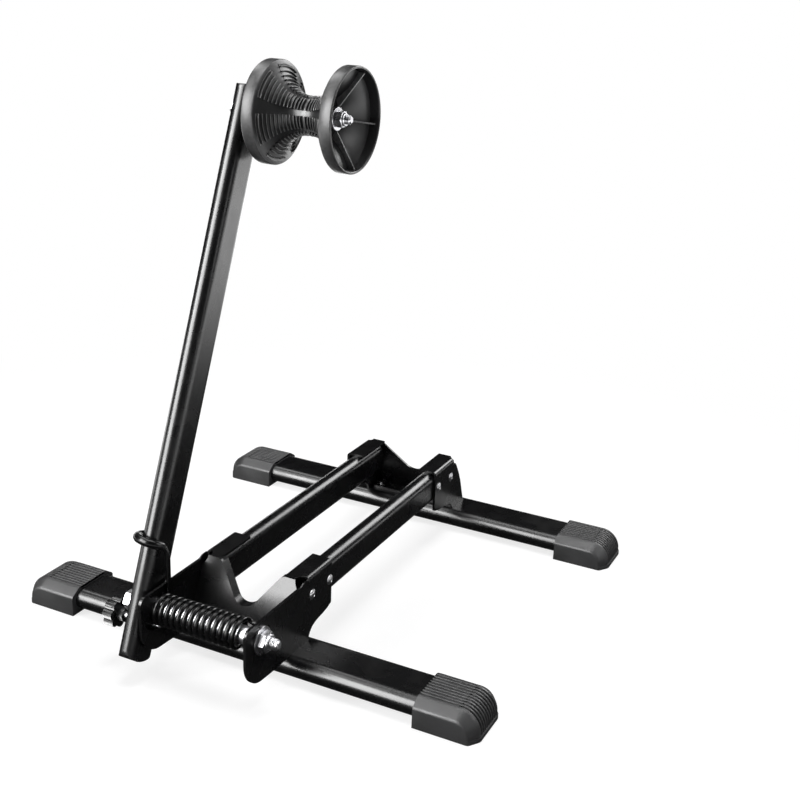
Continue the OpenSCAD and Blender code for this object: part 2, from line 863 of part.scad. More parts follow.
module rib_profile() {
    polygon(concat(
        [[bush_d / 2 + 2 * fit, neck_flat]],
        flare(roller_wall / 2),
        [[rim_r - roller_wall, half_len - 2 * rim_edge], [hub_r - fit, hub_x - fit]]
    ));
}

// Ridges of a grip pad: each rises steeply and falls away towards the rim
ridge_share = 0.4;

module pad_profile() {
    polygon(concat(
        [[neck_r - roller_wall / 2, neck_flat]],
        [for (i = [1:pad_steps], h = [0, 1])
            flare_at((i + (h == 0 ? 0 : ridge_share)) / (pad_steps + 1),
                h == 0 ? -pad_h : roller_wall / 8)],
        [[rim_r - rim_edge - roller_wall, cone_end]],
        [[neck_r - roller_wall / 2, cone_end]]
    ));
}

module roller_half() {
    difference() {
        union() {
            rotate_extrude($fn = 96) half_profile();
            for (i = [0:rib_count - 1]) rotate([0, 0, 360 * i / rib_count + rib_turn])
                rotate([90, 0, 0]) translate([0, 0, -rib_t / 2]) linear_extrude(rib_t)
                    rib_profile();
            difference() {
                for (i = [0:pad_count - 1])
                    rotate([0, 0, 360 * (i - pad_share / 2) / pad_count + pad_turn])
                    rotate_extrude(angle = 360 * pad_share / pad_count, $fn = 96) pad_profile();
                rotate_extrude($fn = 96) polygon(concat(
                    [[0, -cut]], flare(roller_wall / 2),
                    [[rim_r - roller_wall, cone_end + cut], [0, cone_end + cut]]));
            }
        }
        translate([0, 0, -cut]) cylinder(h = half_len, d = bush_d + 2 * fit);
    }
}

module at_roller() {
    in_arm() translate([0, 0, arm_reach]) children();
}

module roller_inner_half() {
    color([0.2, 0.2, 0.21]) at_roller() mirror([1, 0, 0]) rotate([0, 90, 0]) roller_half();
}

module roller_outer_half() {
    color([0.2, 0.2, 0.21]) at_roller() rotate([0, 90, 0]) roller_half();
}

module roller_bush() {
    color([0.75, 0.75, 0.77]) at_roller() ring_x(-hub_x, hub_x, bush_d, axle_d + fit);
}

// Roller axle: bolt head outside the arm, spacer, washer and lock nut in the outer cup
axle_hex_w = 13;
axle_head_h = 5.3;
axle_nut_h = 8;
axle_washer_d = 20;
axle_end = 5;
axle_spacer_d = 16;

module axle_bolt() {
    color([0.82, 0.82, 0.84]) at_roller() {
        hex_x(-arm_out - axle_head_h, -arm_out, axle_hex_w);
        bar_x(-arm_out, hub_x + run_gap + washer_t + axle_nut_h + axle_end, axle_d);
    }
}

module axle_spacer() {
    color([0.75, 0.75, 0.77]) at_roller()
        ring_x(-arm_in, -hub_x - run_gap, axle_spacer_d, axle_d + fit);
}

module axle_washer() {
    color([0.82, 0.82, 0.84]) at_roller()
        ring_x(hub_x + run_gap, hub_x + run_gap + washer_t, axle_washer_d, axle_d + fit);
}

module axle_nut() {
    x0 = hub_x + run_gap + washer_t;
    color([0.82, 0.82, 0.84]) at_roller() difference() {
        hex_x(x0, x0 + axle_nut_h, axle_hex_w);
        bar_x(x0 - cut, x0 + axle_nut_h + cut, axle_d);
    }
}

black = [0.06, 0.06, 0.07];
foot_grey = [0.25, 0.25, 0.26];

color(black) beam(front_y);  // front_beam
color(black) beam(rear_y);  // rear_beam
color(foot_grey) place_foot(-1, front_y);  // foot_front_left
color(foot_grey) place_foot(1, front_y);  // foot_front_right
color(foot_grey) place_foot(-1, rear_y);  // foot_rear_left
color(foot_grey) place_foot(1, rear_y);  // foot_rear_right
color(black) rail(-1);  // left_rail
color(black) rail(1);  // right_rail
front_bracket();
rear_bracket();
rivets([rivet_ys()[0], rivet_ys()[1]]);  // front_rivets
rivets([rivet_ys()[2], rivet_ys()[3]]);  // rear_rivets
screws(front_y);  // front_screws
screws(rear_y);  // rear_screws
pivot_bolt();
pivot_head_washer();
pivot_spacer();
pivot_bushing();
pivot_nut_washer();
pivot_nut();
arm_tube();
arm_sleeve();
arm_bottom_plug();
arm_top_plug();
torsion_spring();
lock_insert();
lock_knob();
lock_stud();
axle_bolt();
axle_spacer();
axle_washer();
axle_nut();
roller_inner_half();
roller_outer_half();
roller_bush();
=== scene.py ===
"""Floor bike rack: finishes, spring wire, fasteners, studio and camera around the fixed frame."""

import json
import logging
import math
from dataclasses import dataclass, field
from enum import Enum, IntEnum
from typing import Sequence

import bpy
from mathutils import Matrix, Vector


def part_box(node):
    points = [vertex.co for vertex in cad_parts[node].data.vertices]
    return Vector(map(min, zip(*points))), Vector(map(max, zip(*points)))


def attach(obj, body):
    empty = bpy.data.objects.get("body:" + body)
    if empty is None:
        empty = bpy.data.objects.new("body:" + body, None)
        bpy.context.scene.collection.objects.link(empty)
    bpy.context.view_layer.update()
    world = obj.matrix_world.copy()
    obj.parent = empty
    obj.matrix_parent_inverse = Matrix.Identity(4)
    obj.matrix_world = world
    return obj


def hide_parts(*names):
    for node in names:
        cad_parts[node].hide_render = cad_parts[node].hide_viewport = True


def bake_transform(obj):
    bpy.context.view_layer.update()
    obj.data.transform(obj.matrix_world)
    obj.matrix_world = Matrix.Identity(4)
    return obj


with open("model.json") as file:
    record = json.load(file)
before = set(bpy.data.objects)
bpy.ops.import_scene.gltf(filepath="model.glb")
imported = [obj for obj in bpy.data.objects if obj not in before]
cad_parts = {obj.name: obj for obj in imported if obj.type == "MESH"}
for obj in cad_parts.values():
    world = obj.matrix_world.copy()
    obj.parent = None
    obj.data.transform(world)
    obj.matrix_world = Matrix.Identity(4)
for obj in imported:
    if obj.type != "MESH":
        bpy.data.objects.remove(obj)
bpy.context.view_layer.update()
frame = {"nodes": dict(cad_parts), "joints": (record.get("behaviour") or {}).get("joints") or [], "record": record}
LOG = logging.getLogger("bike_rack")
Point = tuple[float, float, float]
Pair = tuple[float, float]


class Slot(Enum):
    """Material slots of the record."""

    BLACK_PAINT = "black_paint"
    ZINC = "zinc"
    SPRING = "spring_black"
    FOOT = "foot_plastic"
    PLUG = "plug_plastic"
    ROLLER = "roller_plastic"
    KNOB = "knob_plastic"


class Body(Enum):
    """Bodies that new pieces ride on."""

    BASE = "base"
    ARM = "arm"
    ROLLER = "roller"
    LOCK_SCREW = "lock_screw"


class Axis(IntEnum):
    """Axes of the frame: X across the rack, Y along the wheel, Z up."""

    X = 0
    Y = 1
    Z = 2


class Effect(Enum):
    """Shared effects of the finishes, each a node group of this name."""

    MOTTLE = "Mottle"
    GRAIN = "Grain"
    SCUFF = "Scuff"
    # Paler edges and crests, partly worn by rubbing and partly a painted highlight.
    EDGE_WEAR = "EdgeWear"


class Cut(Enum):
    """Ways to cut one piece by another."""

    KEEP_COMMON = "INTERSECT"
    TAKE_AWAY = "DIFFERENCE"


# Places and sizes from the frame


def span(node: str, axis: Axis) -> Pair:
    """Find how far a node of the frame reaches along an axis.

    Args:
        node: Name of the node.
        axis: The axis.

    Returns:
        Its lowest and highest place in metres, to the micrometre.
    """
    low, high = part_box(node)
    return round(float(low[axis]), 6), round(float(high[axis]), 6)


def breadth(node: str, axis: Axis) -> float:
    """Measure a node of the frame along an axis.

    Args:
        node: Name of the node.
        axis: The axis.

    Returns:
        Its size in metres, to the micrometre.
    """
    low, high = span(node, axis)
    return round(high - low, 6)


def middle(node: str, axis: Axis) -> float:
    """Middle of a node of the frame along an axis, in metres."""
    return sum(span(node, axis)) / 2


def joint_place(name: str) -> Point:
    """Place of a joint of the frame, in metres."""
    return tuple(next(joint["pos_m"] for joint in frame["joints"] if joint["name"] == name))


def arc(centre: Pair, radius: float, start: float, end: float, steps: int) -> list[Pair]:
    """Points along a circular arc.

    Args:
        centre: The arc's centre.
        radius: Its radius.
        start: Angle of the first point in degrees.
        end: Angle of the last point in degrees.
        steps: Number of steps between them.

    Returns:
        The steps + 1 points.
    """
    angles = [math.radians(start + (end - start) * i / steps) for i in range(steps + 1)]
    return [(centre[0] + radius * math.cos(a), centre[1] + radius * math.sin(a)) for a in angles]


PIVOT = joint_place("arm_swing")
AXLE = joint_place("roller_spin")
LEAN = round(math.degrees(math.atan2(AXLE[1] - PIVOT[1], AXLE[2] - PIVOT[2])), 1)
PLATE = span("front_bracket", Axis.X)[1]
ARM_X = middle("arm_tube", Axis.X)
ARM_THICK = breadth("arm_tube", Axis.X)
# The arm leans, so the width of its tube is given here and not measured.
ARM_WIDTH = 0.035


# Finishes

# A Mix node's sockets share their names, so they are taken by number.
COLOR_A, COLOR_B, COLOR_OUT = 6, 7, 2
FLOAT_A, FLOAT_B, FLOAT_OUT = 2, 3, 0


def add_node(nodes: bpy.types.Nodes, kind: str, values: dict[str, object] | None = None,
             **settings: object) -> bpy.types.Node:
    """Place a shader node.

    Args:
        nodes: The nodes of the material, world or group.
        kind: The node's type without its ShaderNode prefix.
        values: Value of each named input.
        settings: Properties of the node itself, such as its operation.

    Returns:
        The new node.
    """
    node = nodes.new("ShaderNode" + kind)
    for name, setting in settings.items():
        setattr(node, name, setting)
    for name, value in (values or {}).items():
        node.inputs[name].default_value = value
    return node


def link_all(links: bpy.types.NodeLinks,
             *pairs: tuple[bpy.types.NodeSocket, bpy.types.NodeSocket]) -> None:
    """Join each pair of sockets, source first."""
    for source, target in pairs:
        links.new(source, target)


@dataclass
class ShaderKit:
    """Shared node groups that the finishes place in their materials."""

    cloud_detail: float = 4.0
    cloud_edges: Pair = (0.35, 0.65)
    grain_detail: float = 3.0
    scuff_detail: float = 6.0
    scuff_swirl: float = 0.6
    scuff_edges: Pair = (0.45, 0.75)
    # Pointiness range, noise scale and patches of the paler edge tone, partly worn by rubbing and partly a painted
    # highlight.
    rub_and_highlight_edges: Pair = (0.525, 0.57)
    rub_and_highlight_scale: float = 260.0
    rub_and_highlight_patches: Pair = (0.3, 0.6)
    rub_and_highlight_least: float = 0.55
    groups: dict[Effect, bpy.types.NodeTree] = field(default_factory=dict)

    def build(self) -> None:
        """Make every shared group once."""
        self.groups = {Effect.MOTTLE: self._mottle(), Effect.GRAIN: self._grain(),
                       Effect.SCUFF: self._scuff(), Effect.EDGE_WEAR: self._edge_wear_and_highlight()}

    def place(self, nodes: bpy.types.Nodes, effect: Effect,
              values: dict[str, object]) -> bpy.types.Node:
        """Place a shared group among a material's nodes.

        Args:
            nodes: The material's nodes.
            effect: The group's effect.
            values: Value of each named input.

        Returns:
            The group's node.
        """
        node = add_node(nodes, "Group", node_tree=self.groups[effect])
        for name, value in values.items():
            node.inputs[name].default_value = value
        return node

    @staticmethod
    def _open(effect: Effect, inputs: Sequence[tuple[str, str, float]],
              output: tuple[str, str]) -> tuple[bpy.types.NodeTree, bpy.types.Node,
                                                bpy.types.Node]:
        """Start a node group with named sockets.

        Args:
            effect: The group's effect, which names it.
            inputs: Socket name, socket kind and default number of each input.
            output: Socket name and socket kind of the output.

        Returns:
            The tree, its input node and its output node.
        """
        tree = bpy.data.node_groups.new(effect.value, "ShaderNodeTree")
        for title, kind, value in inputs:
            socket = tree.interface.new_socket(name=title, in_out="INPUT",
                                               socket_type="NodeSocket" + kind)
            if kind == "Float":
                socket.default_value = value
        tree.interface.new_socket(name=output[0], in_out="OUTPUT",
                                  socket_type="NodeSocket" + output[1])
        return tree, tree.nodes.new("NodeGroupInput"), tree.nodes.new("NodeGroupOutput")

    def _mottle(self) -> bpy.types.NodeTree:
        """Blend two shades in soft cloudy patches over the surface.

        Returns:
            The node group.
        """
        tree, given, out = self._open(
            Effect.MOTTLE, [("Vector", "Vector", 0), ("Base", "Color", 0), ("Shade", "Color", 0),
                            ("Scale", "Float", 20.0)], ("Color", "Color"))
        noise = add_node(tree.nodes, "TexNoise", {"Detail": self.cloud_detail})
        ramp = add_node(tree.nodes, "MapRange", {"From Min": self.cloud_edges[0],
                                                 "From Max": self.cloud_edges[1]})
        mix = add_node(tree.nodes, "Mix", data_type="RGBA")
        link_all(tree.links,
                 (given.outputs["Vector"], noise.inputs["Vector"]),
                 (given.outputs["Scale"], noise.inputs["Scale"]),
                 (noise.outputs["Fac"], ramp.inputs["Value"]),
                 (ramp.outputs["Result"], mix.inputs["Factor"]),
                 (given.outputs["Base"], mix.inputs[COLOR_A]),
                 (given.outputs["Shade"], mix.inputs[COLOR_B]),
                 (mix.outputs[COLOR_OUT], out.inputs["Color"]))
        return tree

    def _grain(self) -> bpy.types.NodeTree:
        """Give fine moulded or sprayed grain as a height.

        Returns:
            The node group.
        """
        tree, given, out = self._open(
            Effect.GRAIN, [("Vector", "Vector", 0), ("Scale", "Float", 900.0),
                           ("Coarse", "Float", 0.4)], ("Height", "Float"))
        fine = add_node(tree.nodes, "TexNoise", {"Detail": self.grain_detail})
        pits = add_node(tree.nodes, "TexVoronoi")
        mix = add_node(tree.nodes, "Mix", data_type="FLOAT")
        for node in (fine, pits):
            link_all(tree.links,
                     (given.outputs["Vector"], node.inputs["Vector"]),
                     (given.outputs["Scale"], node.inputs["Scale"]))
        link_all(tree.links,
                 (given.outputs["Coarse"], mix.inputs["Factor"]),
                 (fine.outputs["Fac"], mix.inputs[FLOAT_A]),
                 (pits.outputs["Distance"], mix.inputs[FLOAT_B]),
                 (mix.outputs[FLOAT_OUT], out.inputs["Height"]))
        return tree

    def _scuff(self) -> bpy.types.NodeTree:
        """Give faint handling marks as a roughness between a smooth and a worn value.

        Returns:
            The node group.
        """
        tree, given, out = self._open(
            Effect.SCUFF, [("Vector", "Vector", 0), ("Smooth", "Float", 0.2),
                           ("Worn", "Float", 0.35), ("Scale", "Float", 35.0)],
            ("Roughness", "Float"))
        noise = add_node(tree.nodes, "TexNoise", {"Detail": self.scuff_detail,
                                                  "Distortion": self.scuff_swirl})
        ramp = add_node(tree.nodes, "MapRange", {"From Min": self.scuff_edges[0],
                                                 "From Max": self.scuff_edges[1]})
        link_all(tree.links,
                 (given.outputs["Vector"], noise.inputs["Vector"]),
                 (given.outputs["Scale"], noise.inputs["Scale"]),
                 (noise.outputs["Fac"], ramp.inputs["Value"]),
                 (given.outputs["Smooth"], ramp.inputs["To Min"]),
                 (given.outputs["Worn"], ramp.inputs["To Max"]),
                 (ramp.outputs["Result"], out.inputs["Roughness"]))
        return tree

    def _edge_wear_and_highlight(self) -> bpy.types.NodeTree:
        """Give rounded edges and crests a paler tone, broken up by fine noise: partly worn by rubbing, partly a
        painted highlight.

        Returns:
            The node group.
        """
        tree, given, out = self._open(
            Effect.EDGE_WEAR, [("Vector", "Vector", 0), ("Color", "Color", 0),
                               ("Rubbed", "Color", 0), ("Start", "Float", self.rub_and_highlight_edges[0]),
                               ("End", "Float", self.rub_and_highlight_edges[1])], ("Color", "Color"))
        shape = add_node(tree.nodes, "NewGeometry")
        ramp = add_node(tree.nodes, "MapRange")
        noise = add_node(tree.nodes, "TexNoise", {"Scale": self.rub_and_highlight_scale})
        patchy = add_node(tree.nodes, "MapRange", {"From Min": self.rub_and_highlight_patches[0],
                                                   "From Max": self.rub_and_highlight_patches[1],
                                                   "To Min": self.rub_and_highlight_least})
        both = add_node(tree.nodes, "Math", operation="MULTIPLY")
        mix = add_node(tree.nodes, "Mix", data_type="RGBA")
        link_all(tree.links,
                 (shape.outputs["Pointiness"], ramp.inputs["Value"]),
                 (given.outputs["Start"], ramp.inputs["From Min"]),
                 (given.outputs["End"], ramp.inputs["From Max"]),
                 (given.outputs["Vector"], noise.inputs["Vector"]),
                 (noise.outputs["Fac"], patchy.inputs["Value"]),
                 (ramp.outputs["Result"], both.inputs[0]),
                 (patchy.outputs["Result"], both.inputs[1]),
                 (both.outputs[0], mix.inputs["Factor"]),
                 (given.outputs["Color"], mix.inputs[COLOR_A]),
                 (given.outputs["Rubbed"], mix.inputs[COLOR_B]),
                 (mix.outputs[COLOR_OUT], out.inputs["Color"]))
        return tree


@dataclass(frozen=True)
class Finish:
    """A finish of one material slot.

    Colours are linear. Scales are per metre on Object coordinates, and depth is in metres.
    """

    slot: Slot
    base: Point
    shade: Point
    smooth: float
    worn: float
    metallic: float = 0.0
    specular: float = 0.5
    mottle_scale: float = 30.0
    grain_scale: float = 900.0
    grain_coarse: float = 0.4
    grain_depth: float = 0.00004
    grain_strength: float = 0.3
    # Paler tone on edges and crests, partly worn by rubbing and partly a painted highlight.
    rubbed_and_highlit: float = 0.0

    def material(self, kit: ShaderKit) -> bpy.types.Material:
        """Make this finish's material.

        Args:
            kit: The shared node groups.

        Returns:
            The new material.
        """
        made = bpy.data.materials.new(self.slot.value)
        made.use_nodes = True
        nodes, links = made.node_tree.nodes, made.node_tree.links
        shader = nodes["Principled BSDF"]
        shader.inputs["Metallic"].default_value = self.metallic
        shader.inputs["Specular IOR Level"].default_value = self.specular
        place = add_node(nodes, "TexCoord").outputs["Object"]
        mottle = kit.place(nodes, Effect.MOTTLE, {"Base": (*self.base, 1.0),
                                                  "Shade": (*self.shade, 1.0),
                                                  "Scale": self.mottle_scale})
        scuff = kit.place(nodes, Effect.SCUFF, {"Smooth": self.smooth, "Worn": self.worn})
        grain = kit.place(nodes, Effect.GRAIN, {"Scale": self.grain_scale,
                                                "Coarse": self.grain_coarse})
        bump = add_node(nodes, "Bump", {"Strength": self.grain_strength,
                                        "Distance": self.grain_depth})
        for group in (mottle, scuff, grain):
            links.new(place, group.inputs["Vector"])
        tone = mottle.outputs["Color"]
        # Edges and crests are painted paler: partly worn by rubbing, partly a painted highlight.
        if self.rubbed_and_highlit:
            wear_and_highlight = kit.place(nodes, Effect.EDGE_WEAR, {"Rubbed": (*(self.rubbed_and_highlit,) * 3, 1.0)})
            link_all(links, (place, wear_and_highlight.inputs["Vector"]), (tone, wear_and_highlight.inputs["Color"]))
            tone = wear_and_highlight.outputs["Color"]
        link_all(links,
                 (tone, shader.inputs["Base Color"]),
                 (scuff.outputs["Roughness"], shader.inputs["Roughness"]),
                 (grain.outputs["Height"], bump.inputs["Height"]),
                 (bump.outputs["Normal"], shader.inputs["Normal"]))
        return made


FINISHES = (
    Finish(Slot.BLACK_PAINT, (0.0035, 0.0035, 0.0038), (0.0055, 0.0055, 0.006), 0.26, 0.34,
           specular=0.42, grain_scale=600.0, grain_depth=0.00002, grain_strength=0.08),
    Finish(Slot.ZINC, (0.62, 0.62, 0.63), (0.5, 0.5, 0.52), 0.27, 0.36, metallic=1.0,
           mottle_scale=60.0, grain_scale=1500.0, grain_depth=0.000002, grain_strength=0.1),
    Finish(Slot.SPRING, (0.004, 0.004, 0.0042), (0.008, 0.008, 0.0085), 0.2, 0.3, specular=0.24,
           grain_scale=1500.0, grain_depth=0.00002),
    Finish(Slot.FOOT, (0.042, 0.042, 0.043), (0.03, 0.03, 0.031), 0.42, 0.56, specular=0.45,
           grain_scale=1300.0, grain_coarse=0.6, grain_depth=0.0002, grain_strength=0.45),
    Finish(Slot.PLUG, (0.006, 0.006, 0.0065), (0.01, 0.01, 0.0105), 0.25, 0.38, specular=0.42,
           grain_scale=1300.0),
    # The roller's edges and crests are painted paler: partly worn by rubbing, partly a painted highlight.
    Finish(Slot.ROLLER, (0.02, 0.02, 0.0205), (0.015, 0.015, 0.0155), 0.34, 0.44, specular=0.32,
           grain_scale=1200.0, grain_depth=0.00005, grain_strength=0.2, rubbed_and_highlit=0.16),
    Finish(Slot.KNOB, (0.006, 0.006, 0.0065), (0.01, 0.01, 0.0105), 0.22, 0.36, specular=0.45,
           grain_scale=1200.0),
)


# Workshop


@dataclass
class Workshop:
    """Modelling helpers and the finishes at hand."""

    weld: float = 0.000002
    seam: float = 0.000004
    smooth_angle: float = 35.0
    flat_share: float = 0.96
    chamfer_share: float = 0.55
    corner_room: float = 1.02
    corner_steps: int = 48
    thread_steps: int = 28
    thread_ridge: float = 0.55
    materials: dict[Slot, bpy.types.Material] = field(default_factory=dict)

    def stock(self) -> None:
        """Make the shared groups and every finish."""
        kit = ShaderKit()
        kit.build()
        self.materials = {finish.slot: finish.material(kit) for finish in FINISHES}

    @staticmethod
    def clear() -> None:
        """Leave edit mode and deselect everything."""
        if bpy.context.object is not None and bpy.context.object.mode != "OBJECT":
            bpy.ops.object.mode_set(mode="OBJECT")
        bpy.ops.object.select_all(action="DESELECT")

    def pick(self, obj: bpy.types.Object) -> None:
        """Select one object alone and make it active.

        Args:
            obj: The object.
        """
        self.clear()
        obj.select_set(True)
        bpy.context.view_layer.objects.active = obj

    def dress(self, obj: bpy.types.Object, slot: Slot) -> None:
        """Give an object one finish all over."""
        obj.data.materials.clear()
        obj.data.materials.append(self.materials[slot])

    def round_edges(self, obj: bpy.types.Object, width: float, segments: int = 2,
                    angle: float = 32.0) -> None:
        """Break an object's sharp edges with live modifiers.

        Args:
            obj: The object.
            width: Width of the broken edge in metres.
            segments: Facets across the edge.
            angle: Least angle in degrees of an edge that is broken.
        """
        weld = obj.modifiers.new("weld", "WELD")
        weld.merge_threshold = self.weld
        bevel = obj.modifiers.new("broken_edges", "BEVEL")
        bevel.width = width
        bevel.segments = segments
        bevel.limit_method = "ANGLE"
        bevel.angle_limit = math.radians(angle)
        bevel.use_clamp_overlap = True
        bevel.harden_normals = True

    def _start(self, at: Point) -> bpy.types.Object:
        """Start a piece in edit mode as one selected vertex.

        Args:
            at: The vertex's place in metres.

        Returns:
            The object.
        """
        self.clear()
        bpy.ops.mesh.primitive_plane_add(size=0.001, location=(0, 0, 0))
        piece = bpy.context.object
        bpy.ops.object.mode_set(mode="EDIT")
        bpy.ops.mesh.select_all(action="SELECT")
        bpy.ops.mesh.merge(type="CENTER")
        bpy.ops.transform.translate(value=at)
        return piece

    def lathe(self, outline: Sequence[Pair], at: Point, steps: int = 40) -> bpy.types.Object:
        """Turn an outline about an axis along X, as on a lathe.

        Args:
            outline: Places along the axis and radii, in metres, from the axis to the axis.
            at: A place on the axis; the outline's places along the axis start there.
            steps: Facets round the axis.

        Returns:
            The closed turned piece.
        """
        along, radius = outline[0]
        piece = self._start((at[0] + along, at[1], at[2] + radius))
        for (x0, r0), (x1, r1) in zip(outline, outline[1:]):
            bpy.ops.mesh.extrude_region_move(
                TRANSFORM_OT_translate={"value": (x1 - x0, 0.0, r1 - r0)})
        bpy.ops.mesh.select_all(action="SELECT")
        bpy.ops.mesh.spin(steps=steps, angle=2 * math.pi, center=at, axis=(1, 0, 0))
        self.close_up()
        return piece

    def loop(self, points: Sequence[Point]) -> bpy.types.Object:
        """Draw a closed loop of edges, point by point, and leave it open for editing.

        Args:
            points: The corners in metres; the last one joins the first.

        Returns:
            The object, in edit mode with the whole loop selected.
        """
        piece = self._start(points[0])
        for a, b in zip(points, [*points[1:], points[0]]):
            bpy.ops.mesh.extrude_region_move(
                TRANSFORM_OT_translate={"value": tuple(q - p for p, q in zip(a, b))})
        bpy.ops.mesh.select_all(action="SELECT")
        bpy.ops.mesh.remove_doubles(threshold=self.weld)
        return piece

    def sector(self, outline: Sequence[Pair], at: Point, turn: float, width: float,
               steps: int = 12) -> bpy.types.Object:
        """Turn a closed outline through part of a circle about an axis along X.

        Args:
            outline: Places along the axis and radii of the closed outline, in metres.
            at: A place on the axis.
            turn: Bearing of the sector's middle in degrees, from up towards the rear.
            width: Its width in degrees.
            steps: Facets across it.

        Returns:
            The closed sector.
        """
        start = math.radians(turn - width / 2)
        piece = self.loop([(at[0] + x, at[1] + r * math.sin(start), at[2] + r * math.cos(start))
                           for x, r in outline])
        bpy.ops.mesh.edge_face_add()
        bpy.ops.mesh.spin(steps=steps, angle=math.radians(width), center=at, axis=(1, 0, 0))
        self.close_up()
        return piece

    def ring(self, outline: Sequence[Pair], at: Point, steps: int = 96) -> bpy.types.Object:
        """Turn a closed outline right round an axis along X.

        Args:
            outline: Places along the axis and radii of the closed outline, in metres.
            at: A place on the axis.
            steps: Facets round the axis.

        Returns:
            The closed ring.
        """
        piece = self.loop([(at[0] + x, at[1], at[2] + r) for x, r in outline])
        bpy.ops.mesh.spin(steps=steps, angle=2 * math.pi, center=at, axis=(1, 0, 0))
        self.close_up()
        return piece

    def slab(self, points: Sequence[Point], depth: Point) -> bpy.types.Object:
        """Fill a flat outline and draw it out to a plate.

        Args:
            points: The outline's corners in metres.
            depth: The way the plate is drawn out, in metres.

        Returns:
            The closed plate.
        """
        piece = self.loop(points)
        bpy.ops.mesh.edge_face_add()
        bpy.ops.mesh.extrude_region_move(TRANSFORM_OT_translate={"value": depth})
        self.close_up()
        return piece

    def close_up(self) -> None:
        """Merge the seams of the piece being edited, face it outwards and leave edit mode."""
        bpy.ops.mesh.select_all(action="SELECT")
        bpy.ops.mesh.remove_doubles(threshold=self.seam)
        bpy.ops.mesh.normals_make_consistent(inside=False)
        bpy.ops.object.mode_set(mode="OBJECT")
        bpy.ops.object.shade_smooth_by_angle(angle=math.radians(self.smooth_angle))

    def cut(self, obj: bpy.types.Object, cutter: bpy.types.Object, way: Cut) -> None:
        """Cut one piece by another and remove the cutter.

        Args:
            obj: The piece that stays.
            cutter: The piece that shapes it.
            way: What is kept of the piece.
        """
        self.pick(obj)
        trim = obj.modifiers.new("trim", "BOOLEAN")
        trim.operation = way.value
        trim.solver = "EXACT"
        trim.object = cutter
        bpy.ops.object.modifier_apply(modifier=trim.name)
        bpy.data.objects.remove(cutter, do_unlink=True)

    def hexagon(self, x0: float, x1: float, across: float, at: Point,
                chamfered: tuple[bool, bool] = (True, True)) -> bpy.types.Object:
        """Make a hexagonal prism along X with turned corners.

        Args:
            x0: Lower end along X.
            x1: Upper end along X.
            across: Width across the flats.
            at: A place on the axis.
            chamfered: Whether the lower and the upper end have turned corners.

        Returns:
            The prism.
        """
        self.clear()
        corner = across / math.sqrt(3.0)
        bpy.ops.mesh.primitive_cylinder_add(vertices=6, radius=corner, depth=x1 - x0,
                                            location=((x0 + x1) / 2, at[1], at[2]),
                                            rotation=(0, math.pi / 2, 0))
        prism = bpy.context.object
        bpy.ops.object.transform_apply(location=True, rotation=True, scale=True)
        flat = across / 2 * self.flat_share
        drop = (corner - flat) * self.chamfer_share
        wide = corner * self.corner_room
        low = [(x0, flat), (x0 + drop, wide)] if chamfered[0] else [(x0, wide)]
        high = [(x1 - drop, wide), (x1, flat)] if chamfered[1] else [(x1, wide)]
        turned = self.lathe([(x0, 0.0), *low, *high, (x1, 0.0)], (0.0, at[1], at[2]),
                            self.corner_steps)
        self.cut(prism, turned, Cut.KEEP_COMMON)
        return prism

    def thread(self, x0: float, x1: float, radius: float, pitch: float,
               at: Point) -> bpy.types.Object:
        """Wind a V thread on a bolt's end.

        Args:
            x0: Lower end along X.
            x1: Upper end along X.
            radius: Outer radius of the thread.
            pitch: Distance between crests.
            at: A place on the axis.

        Returns:
            The wound ridge.
        """
        self.clear()
        bpy.ops.mesh.primitive_circle_add(vertices=3, radius=pitch * self.thread_ridge,
                                          fill_type="NOTHING", location=(0, 0, 0),
                                          rotation=(0, 0, 0))
        ridge = bpy.context.object
        bpy.ops.object.mode_set(mode="EDIT")
        bpy.ops.mesh.select_all(action="SELECT")
        bpy.ops.transform.rotate(value=math.pi / 2, orient_axis="X", center_override=(0, 0, 0))
        bpy.ops.object.mode_set(mode="OBJECT")
        top = max(v.co.x for v in ridge.data.vertices)
        bpy.ops.object.mode_set(mode="EDIT")
        bpy.ops.mesh.select_all(action="SELECT")
        bpy.ops.transform.translate(value=(radius - top, 0.0, 0.0))
        bpy.ops.object.mode_set(mode="OBJECT")
        wind = ridge.modifiers.new("wind", "SCREW")
        wind.axis = "Z"
        wind.angle = 2 * math.pi
        wind.screw_offset = pitch
        wind.iterations = max(int((x1 - x0) / pitch) - 1, 1)
        wind.steps = self.thread_steps
        wind.render_steps = self.thread_steps
        bpy.ops.object.modifier_apply(modifier=wind.name)
        self._cap_ends()
        low = min(v.co.z for v in ridge.data.vertices)
        ridge.location = (x0 - low, at[1], at[2])
        ridge.rotation_euler = (0, math.pi / 2, 0)
        bpy.ops.object.transform_apply(location=True, rotation=True, scale=True)
        return ridge

    @staticmethod
    def _cap_ends() -> None:
        """Close the open ends of the active ridge and point its faces outwards."""
        bpy.ops.object.mode_set(mode="EDIT")
        bpy.ops.mesh.select_all(action="DESELECT")
        bpy.ops.mesh.select_non_manifold()
        bpy.ops.mesh.edge_face_add()
        bpy.ops.mesh.select_all(action="SELECT")
        bpy.ops.mesh.normals_make_consistent(inside=False)
        bpy.ops.object.mode_set(mode="OBJECT")

    def copy(self, obj: bpy.types.Object, shift: Point = (0.0, 0.0, 0.0)) -> bpy.types.Object:
        """Copy a piece, with a mesh of its own.

        Args:
            obj: The piece, at the origin.
            shift: How far the copy is moved, in metres.

        Returns:
            The copy.
        """
        self.pick(obj)
        bpy.ops.object.duplicate()
        made = bpy.context.object
        made.location = shift
        return made

